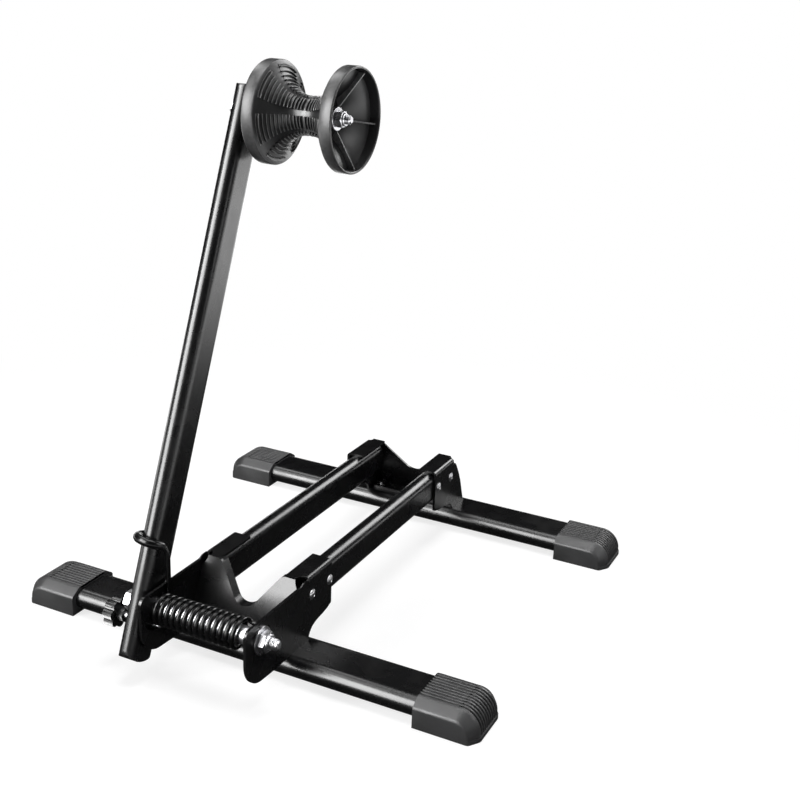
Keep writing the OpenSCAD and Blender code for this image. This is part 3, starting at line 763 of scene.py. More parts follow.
    def copy_round(self, obj: bpy.types.Object, at: Point, count: int) -> list[bpy.types.Object]:
        """Set copies of a piece evenly round an axis along X.

        Args:
            obj: The piece, at the origin.
            at: A place on the axis.
            count: Number of places, the piece's own among them.

        Returns:
            The piece and its copies.
        """
        to_axis = Matrix.Translation(Vector(at))
        pieces = [obj]
        for i in range(1, count):
            made = self.copy(obj)
            turn = Matrix.Rotation(2 * math.pi * i / count, 4, "X")
            made.matrix_world = to_axis @ turn @ to_axis.inverted()
            pieces.append(made)
        return pieces

    def join(self, pieces: Sequence[bpy.types.Object]) -> bpy.types.Object:
        """Join pieces into the first one.

        Args:
            pieces: The pieces.

        Returns:
            The first piece, which now holds them all.
        """
        self.clear()
        for piece in pieces:
            piece.select_set(True)
        bpy.context.view_layer.objects.active = pieces[0]
        bpy.ops.object.join()
        return pieces[0]

    def settle(self, obj: bpy.types.Object, name: str, body: Body, slot: Slot) -> None:
        """Finish a new piece: its place goes into the mesh, and it gets a body and a finish.

        Args:
            obj: The piece.
            name: Its name.
            body: The body that it rides on.
            slot: The slot that it takes its finish from.
        """
        self.pick(obj)
        bpy.ops.object.transform_apply(location=True, rotation=True, scale=True)
        obj.name = name
        self.dress(obj, slot)
        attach(obj, body.value)
        LOG.info("%s rides on %s", name, body.value)


# Sub-assemblies


@dataclass
class Frame:
    """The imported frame's own nodes, dressed with the finishes."""

    broken: dict[str, float] = field(default_factory=lambda: {
        "front_bracket": 0.0008, "rear_bracket": 0.0008, "lock_knob": 0.0012,
        "arm_top_plug": 0.0006, "pivot_spacer": 0.0005, "pivot_nut_washer": 0.0003,
        "pivot_head_washer": 0.0003, "axle_washer": 0.0003, "axle_spacer": 0.0004,
        "lock_insert": 0.0004})

    def build(self, shop: Workshop) -> None:
        """Dress every node and break the edges of the sheet and moulded ones.

        Args:
            shop: The workshop.
        """
        wanted = {part["node"]: part["material_slot"] for part in frame["record"]["subparts"]}
        for name, node in frame["nodes"].items():
            shop.dress(node, Slot(wanted[name]))
            if name in self.broken:
                shop.round_edges(node, self.broken[name])
            LOG.info("dressed %s", name)


@dataclass
class Spring:
    """Torsion spring wire: tang, coil round the bushing, upright leg and hook round the arm.

    Angles are in degrees. The sleeve is a share of the wire's thickness and covers the hook.
    """

    wire: float = 0.0045
    facets: int = 4
    radius: float = 0.01275
    turns: int = 14
    start: float = -0.04945
    length: float = 0.086
    leg: float = 0.042
    tang_turn: float = 30.0
    tang_lead: int = 3
    gap: float = 0.0003
    tail: float = 0.012
    sleeve: float = 1.8
    sleeve_lead: int = 2
    hook_start: float = -20.0
    hook_turn: float = 160.0
    hook_rise: float = 0.013
    hook_climb: float = 0.004
    hook_steps: int = 24
    hook_nudge: float = 0.02
    bend: float = 0.006
    bend_steps: int = 12
    rings: int = 24
    smooth_angle: float = 50.0

    def build(self, shop: Workshop) -> None:
        """Make the wire and let it stand for the frame's plain one.

        Args:
            shop: The workshop.
        """
        curve = bpy.data.curves.new("torsion_wire", "CURVE")
        curve.dimensions = "3D"
        curve.bevel_depth = self.wire / 2
        curve.bevel_resolution = self.facets
        curve.use_fill_caps = True
        route = self._route()
        line = curve.splines.new("POLY")
        line.points.add(len(route) - 1)
        first_sleeved = len(route) - 1 - self.hook_steps - self.sleeve_lead
        for i, (point, place) in enumerate(zip(line.points, route)):
            point.co = (*(place + Vector(PIVOT)), 1.0)
            point.radius = self.sleeve if i >= first_sleeved else 1.0
        wire = bpy.data.objects.new("torsion_wire", curve)
        bpy.context.scene.collection.objects.link(wire)
        shop.pick(wire)
        bpy.ops.object.convert(target="MESH")
        wire = bpy.context.object
        bpy.ops.object.shade_smooth_by_angle(angle=math.radians(self.smooth_angle))
        wire.name = "torsion_wire"
        shop.dress(wire, Slot.SPRING)
        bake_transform(wire)
        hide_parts("torsion_spring")
        LOG.info("torsion_wire turns from base to arm")

    def _coil(self, turn: float) -> Vector:
        """Find a place on the coil.

        Args:
            turn: Number of turns from the leg.

        Returns:
            The place about the pivot.
        """
        a = 2 * math.pi * turn
        return Vector((self.start + self.length * turn / self.turns,
                       self.radius * math.cos(a), -self.radius * math.sin(a)))

    @staticmethod
    def _upright(x: float, y: float, s: float) -> Vector:
        """Turn a place given in the arm's lean into the upright frame.

        Args:
            x: Place across the rack.
            y: Place across the arm.
            s: Place along the arm.

        Returns:
            The upright place.
        """
        lean = math.radians(LEAN)
        c, d = math.cos(lean), math.sin(lean)
        return Vector((x, y * c + s * d, s * c - y * d))

    def _hook(self, share: float) -> Vector:
        """Find a place on the hook.

        Args:
            share: How far round, from the arm's inner side at 0 to its outer side at 1.

        Returns:
            The place about the pivot.
        """
        r = ARM_THICK / 2 + self.wire * self.sleeve / 2 + self.gap
        a = math.radians(self.hook_start - self.hook_turn * share)
        return self._upright(ARM_X + r * math.cos(a),
                             -(ARM_WIDTH - ARM_THICK) / 2 + r * math.sin(a),
                             self.leg + self.hook_rise + self.hook_climb * share)

    def _ease(self, p: Vector, u: Vector, q: Vector, v: Vector) -> list[Vector]:
        """Draw a smooth bend from p along u to q along v.

        Args:
            p: First place.
            u: Direction at the first place.
            q: Last place.
            v: Direction at the last place.

        Returns:
            The bend_steps + 1 places.
        """
        made = []
        for i in range(self.bend_steps + 1):
            t = i / self.bend_steps
            a = 1 - t
            made.append(a ** 3 * p + 3 * a * a * t * (p + self.bend * u)
                        + 3 * a * t * t * (q - self.bend * v) + t ** 3 * q)
        return made

    def _route(self) -> list[Vector]:
        """Lay the wire's centre line about the pivot, from the tang to the hook's tail.

        Returns:
            The places along it.
        """
        end = self.turns - self.tang_turn / 360.0
        last = int(end * self.rings) - self.tang_lead
        held = self._coil(end)
        tip = self._coil(last / self.rings)
        towards = (self._coil((last - 1) / self.rings) - tip).normalized()
        route = [Vector((PLATE - self.gap, held.y, held.z))]
        route += self._ease(Vector((self.start + self.length + self.wire, held.y, held.z)),
                            Vector((-1, 0, 0)), tip, towards)
        route += [self._coil(i / self.rings) for i in range(last - 1, -1, -1)]
        route.append(Vector((self.start, self.radius, self.leg / 2)))
        first, second = self._hook(0.0), self._hook(self.hook_nudge)
        route += self._ease(Vector((self.start, self.radius, self.leg)), Vector((0, 0, 1)), first,
                            (second - first).normalized())
        route += [self._hook((i + 1) / self.hook_steps) for i in range(self.hook_steps)]
        route.append(route[-1] + self._upright(0.0, self.tail, 0.0))
        return route


@dataclass
class ArmFoot:
    """Moulded plug with a domed end that closes the arm below the pivot.

    The arm's tube ends "below" the pivot. The cap is cut to the tube's section less "trim", by a
    cutter that starts "lift" above the tube's end and reaches "over" past the dome.
    """

    below: float = 0.041
    wall: float = 0.002
    slack: float = 0.0004
    dome: float = 0.0092
    dome_steps: int = 24
    side_steps: int = 12
    over: float = 0.002
    lift: float = 0.0001
    trim: float = 0.00002
    stem: float = 0.006
    stem_start: float = 0.001
    stem_inset: float = 0.006
    soft: float = 0.002
    soft_segments: int = 4
    soft_angle: float = 50.0

    def build(self, shop: Workshop) -> None:
        """Model the plug in place of the plain one.

        Args:
            shop: The workshop.
        """
        plug = shop.join([self._cap(shop), self._stem(shop)])
        shop.settle(plug, "arm_bottom_plug_domed", Body.ARM, Slot.PLUG)
        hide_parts("arm_bottom_plug")

    def _cap(self, shop: Workshop) -> bpy.types.Object:
        """Model the domed cap, cut to the arm's flat-oval section.

        Args:
            shop: The workshop.

        Returns:
            The cap.
        """
        half = ARM_WIDTH / 2
        rounded = arc((0.0, 0.0), 1.0, 180.0, 0.0, self.dome_steps)[1:-1]
        outline = [(-half, 0.0), *((half * x, self.dome * y) for x, y in rounded), (half, 0.0)]
        cap = shop.slab([self._at(-ARM_THICK / 2, across, down) for across, down in outline],
                        (ARM_THICK, 0.0, 0.0))
        bend = ARM_THICK / 2
        section = [place for side, start in ((1, 0.0), (-1, 180.0)) for place in
                   arc((0.0, side * (half - bend)), bend - self.trim, start, start + 180.0,
                       self.side_steps)]
        top, tip = self._at(0.0, 0.0, 0.0), self._at(0.0, 0.0, self.dome + self.over)
        tube = shop.slab([self._at(x, across, -self.lift) for x, across in section],
                         tuple(b - a for a, b in zip(top, tip)))
        shop.cut(cap, tube, Cut.KEEP_COMMON)
        shop.round_edges(cap, self.soft, self.soft_segments, self.soft_angle)
        return cap

    def _stem(self, shop: Workshop) -> bpy.types.Object:
        """Model the stem inside the tube.

        Args:
            shop: The workshop.

        Returns:
            The stem.
        """
        across = ARM_WIDTH / 2 - self.wall - self.slack - self.stem_inset
        reach = ARM_THICK / 2 - self.wall - self.slack
        return shop.slab([self._at(-reach, side * across, down) for side, down in
                          ((-1, self.stem_start), (1, self.stem_start), (1, -self.stem),
                           (-1, -self.stem))], (2 * reach, 0.0, 0.0))

    def _at(self, x: float, across: float, down: float) -> Point:
        """Turn a place given in the arm's own directions into the frame's.

        Args:
            x: Place across the rack, from the arm's middle.
            across: Place across the arm, towards the rear.
            down: Place down the arm, from its cut end.

        Returns:
            The place in metres.
        """
        lean = math.radians(LEAN)
        along = -(self.below + down)
        return (ARM_X + x,
                PIVOT[1] + along * math.sin(lean) + across * math.cos(lean),
                PIVOT[2] + along * math.cos(lean) - across * math.sin(lean))


@dataclass
class Feet:
    """Moulded feet: a chamfered block with grooves along its top and down its rounded end.

    A groove's half outline is given in shares of its cut, across and down. Along the top a bed
    fills the grooves up to "floor" under it, and round the end the bed falls away.
    """

    length: float = breadth("foot_rear_right", Axis.X)
    width: float = breadth("foot_rear_right", Axis.Y)
    height: float = breadth("foot_rear_right", Axis.Z)
    top: float = 0.039
    shoulder: float = 0.0196
    roll: float = 0.020
    roll_steps: int = 24
    lip: float = 0.001
    lip_height: float = 0.004
    soft: float = 0.0022
    soft_steps: int = 5
    grooves: int = 9
    groove: tuple[Pair, ...] = ((0.60, 0.0), (0.47, 0.1), (0.41, 0.3), (0.34, 0.93), (0.22, 1.0))
    groove_span: float = 0.92
    cut: float = 0.0024
    floor: float = 0.0012
    floor_turn: float = 49.0
    floor_steps: int = 7
    floor_fall: float = 1.4
    floor_inset: float = 0.0005
    bed_depth: float = 0.008
    bed_end_depth: float = 0.014
    hidden: float = 0.0002
    beam: Pair = (0.050, 0.020)
    sole: float = 0.0035
    slack: float = 0.0007
    mouth: Pair = (-0.001, 0.006)
    mouth_steps: int = 16

    def build(self, shop: Workshop) -> None:
        """Model one foot and set a copy on each end of both beams.

        Args:
            shop: The workshop.
        """
        pattern = self._foot(shop)
        for name in ("foot_front_left", "foot_front_right", "foot_rear_left", "foot_rear_right"):
            inner = min(span(name, Axis.X), key=abs)
            foot = shop.copy(pattern, (inner, middle(name, Axis.Y), 0.0))
            foot.rotation_euler = (0.0, 0.0, 0.0 if inner > 0 else math.pi)
            shop.settle(foot, name + "_moulded", Body.BASE, Slot.FOOT)
            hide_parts(name)
        bpy.data.objects.remove(pattern, do_unlink=True)

    def _foot(self, shop: Workshop) -> bpy.types.Object:
        """Model one foot that starts at the origin and reaches along X.

        Args:
            shop: The workshop.

        Returns:
            The foot.
        """
        straight = self.length - self.lip - self.roll
        axis = self.height - self.roll
        ridged = self._profile(self.grooves)
        block = shop.slab([(0.0, y, axis + r) for y, r in
                           [(-self.width / 2, -axis), *ridged, (self.width / 2, -axis)]],
                          (straight, 0.0, 0.0))
        shop.cut(block, self._pocket(shop), Cut.TAKE_AWAY)
        end = shop.loop([(straight, y, axis + r) for y, r in ridged])
        bpy.ops.mesh.edge_face_add()
        bpy.ops.mesh.spin(steps=self.roll_steps, angle=math.pi / 2,
                          center=(straight, 0.0, axis), axis=(0.0, -1.0, 0.0))
        bpy.ops.mesh.extrude_region_move(
            TRANSFORM_OT_translate={"value": (0.0, 0.0, self.lip_height - axis)})
        shop.close_up()
        wide = 1.0 + self.lip / self.roll
        base = shop.slab([(straight + r * wide, y, 0.0) for y, r in self._profile(0)],
                         (0.0, 0.0, self.lip_height))
        return shop.join([block, end, base, self._bed(shop, straight, axis)])

    def _profile(self, grooves: int) -> list[Pair]:
        """Outline across a foot, as places across and heights over the end's turning axis.

        Args:
            grooves: Number of grooves cut in the top.

        Returns:
            The outline from one side over the top to the other.
        """
        axis = self.height - self.roll
        side, low = (self.width / 2, 0.0), (self.width / 2, self.shoulder - axis)
        high = (self.top / 2, self.roll)
        half = [side, *self._soft(side, low, high), *self._soft(low, high, (0.0, self.roll))]
        pitch = self.top * self.groove_span / self.grooves
        teeth = []
        for i in range(grooves):
            place = (i - (grooves - 1) / 2) * pitch
            teeth += [(place - w * self.cut, self.roll - d * self.cut) for w, d in self.groove]
            teeth += [(place + w * self.cut, self.roll - d * self.cut)
                      for w, d in self.groove[::-1]]
        return [(-y, r) for y, r in half] + teeth + half[::-1]

    def _soft(self, before: Pair, corner: Pair, after: Pair) -> list[Pair]:
        """Round a corner between its neighbours.

        Args:
            before: The corner before it.
            corner: The corner.
            after: The corner after it.

        Returns:
            The points of the rounded corner.
        """
        ends = []
        for other in (before, after):
            k = min(self.soft / math.dist(corner, other), 0.5)
            ends.append((corner[0] + k * (other[0] - corner[0]),
                         corner[1] + k * (other[1] - corner[1])))
        curve = []
        for i in range(self.soft_steps + 1):
            t = i / self.soft_steps
            curve.append(tuple((1 - t) ** 2 * a + 2 * t * (1 - t) * c + t * t * b
                               for a, c, b in zip(ends[0], corner, ends[1])))
        return curve

    def _pocket(self, shop: Workshop) -> bpy.types.Object:
        """Make the cutter for the mouth round the beam.

        Args:
            shop: The workshop.

        Returns:
            The cutter.
        """
        bend = self.beam[1] / 2
        across, height = self.beam[0] / 2 - bend, self.sole + bend
        points = [(self.mouth[0], y, z) for side, start in ((1, -90.0), (-1, 90.0)) for y, z in
                  arc((side * across, height), bend + self.slack, start, start + 180.0,
                      self.mouth_steps)]
        return shop.slab(points, (self.mouth[1] - self.mouth[0], 0.0, 0.0))

    def _bed(self, shop: Workshop, straight: float, axis: float) -> bpy.types.Object:
        """Fill the grooves along the top, so that they deepen only round the end.

        Args:
            shop: The workshop.
            straight: Where the rounded end starts.
            axis: Height of its turning axis.

        Returns:
            The fill.
        """
        half = self.top * self.groove_span / 2 - self.floor_inset
        outline = [(self.hidden, self.height - self.bed_depth),
                   (self.hidden, self.height - self.floor)]
        for i in range(self.floor_steps + 1):
            share = i / self.floor_steps
            a = math.radians(self.floor_turn * share)
            drop = (self.cut - self.floor + self.hidden) * share ** self.floor_fall
            r = self.roll - self.floor - drop
            outline.append((straight + r * math.sin(a), axis + r * math.cos(a)))
        outline.append((straight, self.height - self.bed_end_depth))
        return shop.slab([(x, -half, z) for x, z in outline], (0.0, 2 * half, 0.0))


@dataclass
class ReliefEdges:
    """Outer skin of the side plates past the front bracket's corner relief holes."""

    skin: float = 0.0011
    inset: float = 0.00003
    outline: tuple[Pair, ...] = (
        (-0.1450, 0.0780), (-0.1450, 0.08295), (-0.1408, 0.0832), (-0.1386, 0.0842),
        (-0.1366, 0.0852), (-0.1300, 0.0852), (-0.1285, 0.0848), (-0.1285, 0.0760),
        (-0.1400, 0.0750))

    def build(self, shop: Workshop) -> None:
        """Set a thin strip in the outer face of each side plate.

        Args:
            shop: The workshop.
        """
        strips = [shop.slab([(side * (PLATE - self.inset), y, z) for y, z in self.outline],
                            (-side * self.skin, 0.0, 0.0)) for side in (-1.0, 1.0)]
        shop.settle(shop.join(strips), "front_bracket_relief_edges", Body.BASE, Slot.BLACK_PAINT)


@dataclass
class Rivets:
    """Domed blind rivets with a small drilled dimple, four to a bracket.

    The dimple's floor is given in shares of its depth and of its radius.
    """

    radius: float = 0.005
    rise: float = 0.002
    dome_steps: int = 8
    dimple: float = 0.0014
    dimple_depth: float = 0.00035
    dimple_floor: tuple[Pair, ...] = ((1.0, 0.8), (1.6, 0.0))
    skirt: float = 0.0001
    steps: int = 36
    shank: float = 0.003
    shank_length: float = 0.006
    height: float = middle("front_rivets", Axis.Z)
    front: Pair = (-0.121247, -0.089747)
    rear: Pair = (0.149253, 0.180753)

    def build(self, shop: Workshop) -> None:
        """Turn one rivet for each side and set a copy in every hole.

        Args:
            shop: The workshop.
        """
        patterns = [shop.lathe(self._outline(side), (0.0, 0.0, self.height), self.steps)
                    for side in (-1.0, 1.0)]
        for node, places in (("front_rivets", self.front), ("rear_rivets", self.rear)):
            rivets = shop.join([shop.copy(pattern, (0.0, y, 0.0))
                                for pattern in patterns for y in places])
            shop.settle(rivets, node + "_heads", Body.BASE, Slot.ZINC)
            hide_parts(node)
        for pattern in patterns:
            bpy.data.objects.remove(pattern, do_unlink=True)

    def _outline(self, side: float) -> list[Pair]:
        """Outline of a head, its shank and its dimple on one side of the rack.

        Args:
            side: -1 for the left side and 1 for the right one.

        Returns:
            Places along X and radii, in metres.
        """
        ball = (self.radius ** 2 + self.rise ** 2) / (2 * self.rise)
        dome = []
        for i in range(self.dome_steps + 1):
            r = self.radius + (self.dimple - self.radius) * i / self.dome_steps
            dome.append((self.rise - ball + math.sqrt(ball * ball - r * r), r))
        inside = [(-self.shank_length, 0.0), (-self.shank_length, self.shank),
                  (0.0, self.shank), (0.0, self.radius - self.skirt)]
        end = [(dome[-1][0] - deep * self.dimple_depth, share * self.dimple)
               for deep, share in self.dimple_floor]
        return [(side * (PLATE + x), r) for x, r in inside + dome + end]


@dataclass
class BoltAndNut:
    """Bolt with a chamfered hexagon head and a thread end, and the lock nut on it.

    The drops, the collar's chamfer and the thread's lead are measured back from the nut's outer
    face, and the collar is given by its wide and its narrow radius.
    """

    at: Point
    body: Body
    nodes: tuple[str, str]
    names: tuple[str, str]
    head: float
    across: float
    shank: float
    pitch: float
    tip_chamfer: float
    thread_lead: float
    collar: Pair
    collar_chamfer: float
    steps: int
    hexagon_drop: float = 0.0018
    collar_drop: float = 0.0022
    run_out: float = 0.0004

    def build(self, shop: Workshop) -> None:
        """Make the bolt and the nut.

        Args:
            shop: The workshop.
        """
        bolt_ends, nut_ends = (span(node, Axis.X) for node in self.nodes)
        pieces = (self._bolt(shop, *bolt_ends, *nut_ends), self._nut(shop, *nut_ends))
        for piece, name, node in zip(pieces, self.names, self.nodes):
            shop.settle(piece, name, self.body, Slot.ZINC)
            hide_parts(node)

    def _bolt(self, shop: Workshop, start: float, tip: float, nut_start: float,
              nut_end: float) -> bpy.types.Object:
        """Make the bolt.

        Args:
            shop: The workshop.
            start: The head's outer face along X.
            tip: The bolt's tip along X.
            nut_start: The nut's inner face along X.
            nut_end: The nut's outer face along X.

        Returns:
            The bolt.
        """
        under, core = start + self.head, self.shank - self.pitch * 0.5
        head = shop.hexagon(start, under, self.across, self.at, (True, False))
        shank = shop.lathe([(under, 0.0), (under, self.shank), (nut_start, self.shank),
                            (nut_start + self.run_out, core), (tip - self.tip_chamfer, core),
                            (tip, core - self.tip_chamfer), (tip, 0.0)], self.at, self.steps)
        thread = shop.thread(nut_end - self.thread_lead, tip - self.run_out, self.shank,
                             self.pitch, self.at)
        return shop.join([head, shank, thread])

    def _nut(self, shop: Workshop, start: float, end: float) -> bpy.types.Object:
        """Make the lock nut: a hexagon with a round collar.

        Args:
            shop: The workshop.
            start: Its inner face along X.
            end: Its outer face along X.

        Returns:
            The nut.
        """
        nut = shop.hexagon(start, end - self.hexagon_drop, self.across, self.at)
        wide, narrow = self.collar
        ring = shop.lathe([(end - self.collar_drop, 0.0), (end - self.collar_drop, wide),
                           (end - self.collar_chamfer, wide), (end, narrow), (end, 0.0)],
                          self.at, self.steps)
        return shop.join([nut, ring])


@dataclass
class PivotHardware(BoltAndNut):
    """Pivot bolt of the arm, through both side plates."""

    at: Point = PIVOT
    body: Body = Body.BASE
    nodes: tuple[str, str] = ("pivot_bolt", "pivot_nut")
    names: tuple[str, str] = ("pivot_bolt_cut", "pivot_lock_nut")
    head: float = 0.0064
    across: float = 0.017
    shank: float = 0.005
    pitch: float = 0.0015
    tip_chamfer: float = 0.0012
    thread_lead: float = 0.0025
    collar: Pair = (0.0073, 0.0066)
    collar_chamfer: float = 0.0006
    steps: int = 40


@dataclass
class AxleHardware(BoltAndNut):
    """Roller axle bolt, with its lock nut in the outer cup."""

    at: Point = AXLE
    body: Body = Body.ARM
    nodes: tuple[str, str] = ("axle_bolt", "axle_nut")
    names: tuple[str, str] = ("axle_bolt_cut", "axle_lock_nut")
    head: float = 0.0053
    across: float = 0.013
    shank: float = 0.004
    pitch: float = 0.00125
    tip_chamfer: float = 0.001
    thread_lead: float = 0.002
    collar: Pair = (0.0057, 0.0051)
    collar_chamfer: float = 0.0005
    steps: int = 36


@dataclass
class LockScrew:
    """The lock screw's stud with its rounded pin, seen through the side plate.

    The rounding is given by distances back from the tip and shares of the pin's radius.
    """

    at: Point = (0.0, *joint_place("lock_turn")[1:])
    shoulder: float = -0.0548
    radius: float = 0.003
    grip_chamfer: float = 0.0005
    shoulder_chamfer: float = 0.0003
    pin: float = 0.00225
    rounding: tuple[Pair, ...] = ((0.0012, 1.0), (0.0006, 0.88), (0.0002, 0.62), (0.0, 0.28))
    steps: int = 32

    def build(self, shop: Workshop) -> None:
        """Turn the stud in place of the plain one.

        Args:
            shop: The workshop.
        """
        grip, tip = span("lock_stud", Axis.X)
        stud = shop.lathe(
            [(grip, 0.0), (grip, self.radius - self.grip_chamfer),
             (grip + self.grip_chamfer, self.radius),
             (self.shoulder - self.shoulder_chamfer, self.radius),
             (self.shoulder, self.radius - self.shoulder_chamfer), (self.shoulder, self.pin),
             *((tip - back, self.pin * share) for back, share in self.rounding), (tip, 0.0)],
            self.at, self.steps)
        shop.settle(stud, "lock_stud_turned", Body.LOCK_SCREW, Slot.ZINC)
        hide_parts("lock_stud")


@dataclass
class Roller:
    """Both moulded halves: trumpet flange, grip pads, rim and the cup's ribs.

    Places along the flange are shares of its curve, from nought at the neck to one at the rim. A
    ridge's half width, in shares of the pitch, and its height each come with the amount by which
    they shrink from one ridge to the next.
    """

    half: float = span("roller_outer_half", Axis.X)[1]
    rim: float = 0.045
    neck: float = 0.0145
    flat: float = 0.003
    cone: float = 0.0315
    lip: float = 0.002
    lip_turn: tuple[Pair, ...] = ((0.0006, 0.0005), (0.0014, 0.0))
    lip_steps: int = 8
    bow: float = 0.95
    flare_steps: int = 20
    cup_step: int = 5
    wall: float = 0.0025
    bore: float = 0.0062
    hub: float = 0.010
    hub_end: float = 0.0235
    hub_chamfer: float = 0.0004
    pads: int = 6
    pad_turn: float = 172.0
    pad_width: float = 41.0
    pad_end: float = 0.965
    pad_steps: int = 10
    pad_rise: float = 0.0003
    pad_end_rise: float = 0.0004
    groove_rise: float = 0.0002
    ridges: int = 12
    ridges_end: float = 0.96
    first: float = -0.06
    ridge_half: Pair = (0.3, 0.016)
    ridge_height: Pair = (0.0025, 0.00007)
    crest: tuple[Pair, ...] = ((-1.0, 0.0), (-0.86, 0.55), (-0.5, 0.92), (0.0, 1.0), (0.5, 0.92),
                               (0.86, 0.55), (1.0, 0.0))
    ribs: int = 5
    rib_turn: float = 6.0
    rib: float = 0.0014
    rib_steps: int = 10
    rib_first: int = 4
    rib_below: float = 0.004
    rib_foot: Pair = (0.0002, 0.0006)
    rib_lip: float = 0.0004

    def build(self, shop: Workshop) -> None:
        """Model both halves in place of the plain ones.

        Args:
            shop: The workshop.
        """
        for side, name in ((-1, "roller_inner_half"), (1, "roller_outer_half")):
            shell = shop.ring(self._shell(side), AXLE)
            pad = shop.sector(self._pad(side), AXLE, LEAN + self.pad_turn, self.pad_width)
            rib = self._rib(shop, side, LEAN + self.rib_turn)
            half = shop.join([shell, *shop.copy_round(pad, AXLE, self.pads),
                              *shop.copy_round(rib, AXLE, self.ribs)])
            shop.settle(half, name + "_moulded", Body.ROLLER, Slot.ROLLER)
            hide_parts(name)

    def _flare(self, share: float, drop: float) -> Pair:
        """Find a place on the trumpet curve.

        Args:
            share: How far along the curve, from nought at the neck to one at the rim.
            drop: How far in from the surface, in metres.

        Returns:
            The place along the axis and the radius.
        """
        angle = math.asin(self.bow) * share
        u = math.sin(angle) / self.bow
        rise = (self.rim - self.lip - self.neck) / (1 - math.sqrt(1 - self.bow ** 2))
        reach = self.cone - self.flat
        slope = rise / reach * self.bow ** 2 * u / math.cos(angle)
        step = drop / math.sqrt(1 + slope ** 2)
        return (self.flat + reach * u + step * slope,
                self.neck + rise * (1 - math.cos(angle)) - step)

    def _shell(self, side: int) -> list[Pair]:
        """Outline of one half's wall, hub and rim.

        Args:
            side: -1 for the inner half and 1 for the outer one.

        Returns:
            Places along the axis and radii, in metres.
        """
        outer = [(0.0, self.bore), (0.0, self.neck)]
        outer += [self._flare(i / self.flare_steps, 0.0) for i in range(self.flare_steps + 1)]
        outer += [(self.cone + past, self.rim - drop) for past, drop in self.lip_turn]
        edge = self.wall / 2
        outer += arc((self.half - edge, self.rim - edge), edge, 90.0, -90.0, self.lip_steps)
        inner = [self._flare(i / self.flare_steps, self.wall)
                 for i in range(self.flare_steps, self.cup_step - 1, -1)]
        inner += [(inner[-1][0], self.hub), (self.hub_end - self.hub_chamfer, self.hub),
                  (self.hub_end, self.hub - self.hub_chamfer), (self.hub_end, self.bore)]
        return [(side * x, r) for x, r in outer + inner]

    def _pad(self, side: int) -> list[Pair]:
        """Outline of a grip pad: round-topped ridges, slimmer towards the rim, on a low base.

        Args:
            side: -1 for the inner half and 1 for the outer one.

        Returns:
            Places along the axis and radii, in metres.
        """
        top = [self._flare(self.first, -self.pad_rise)]
        pitch = (self.ridges_end - self.first) / self.ridges
        for i in range(self.ridges):
            place = self.first + (i + 0.5) * pitch
            half = pitch * (self.ridge_half[0] - self.ridge_half[1] * i)
            high = self.ridge_height[0] - self.ridge_height[1] * i
            top += [self._flare(place + k * half, -self.groove_rise - h * high)
                    for k, h in self.crest]
        top.append(self._flare(self.pad_end, -self.pad_end_rise))
        under = [self._flare(self.pad_end - i / self.pad_steps, self.wall / 2)
                 for i in range(self.pad_steps)]
        under.append(self._flare(self.first, self.wall / 2))
        return [(side * x, r) for x, r in top + under]

    def _rib(self, shop: Workshop, side: int, turn: float) -> bpy.types.Object:
        """Model one thin rib of the cup, from the hub to the rim.

        Args:
            shop: The workshop.
            side: -1 for the inner half and 1 for the outer one.
            turn: The rib's bearing in degrees, from up towards the rear.

        Returns:
            The rib.
        """
        outline = [(self.hub_end - self.rib_foot[0], self.hub - self.rib_foot[1])]
        outline += [self._flare(i / self.rib_steps, self.wall / 2)
                    for i in range(self.rib_first, self.rib_steps + 1)]
        outline += [(self.half - self.rib_below, self.rim - self.wall / 2),
                    (self.half - self.rib_below, self.rim - self.wall - self.rib_lip)]
        a = math.radians(turn)
        out, across = (math.sin(a), math.cos(a)), (math.cos(a), -math.sin(a))
        half = self.rib / 2
        points = [(side * x, AXLE[1] + r * out[0] - half * across[0],
                   AXLE[2] + r * out[1] - half * across[1]) for x, r in outline]
        return shop.slab(points, (0.0, self.rib * across[0], self.rib * across[1]))


# Studio

MIDDLE: Point = (0.0, 0.0, 0.2)


def around(turn: float, rise: float, reach: float) -> Point:
    """Find a place round the rack's middle.

    Args:
        turn: Bearing in degrees, from the rear towards the right.
        rise: Angle over the floor in degrees.
        reach: Distance from the middle in metres.

    Returns:
        The place in metres.
    """
    a, e = math.radians(turn), math.radians(rise)
    out = Vector((math.sin(a) * math.cos(e), math.cos(a) * math.cos(e), math.sin(e))) * reach
    return tuple(Vector(MIDDLE) + out)


@dataclass(frozen=True)
class Lamp:
    """A rectangular lamp that faces the rack's middle, with its size in metres."""

    name: str
    at: Point
    size: Pair
    watts: float

    def build(self) -> None:
        """Hang the lamp."""
        data = bpy.data.lights.new(self.name, "AREA")
        data.shape = "RECTANGLE"
        data.size, data.size_y = self.size
        data.energy = self.watts
        lamp = bpy.data.objects.new(self.name, data)
        lamp.location = self.at
        facing = Vector(MIDDLE) - Vector(self.at)
        lamp.rotation_euler = facing.to_track_quat("-Z", "Y").to_euler()
        bpy.context.scene.collection.objects.link(lamp)


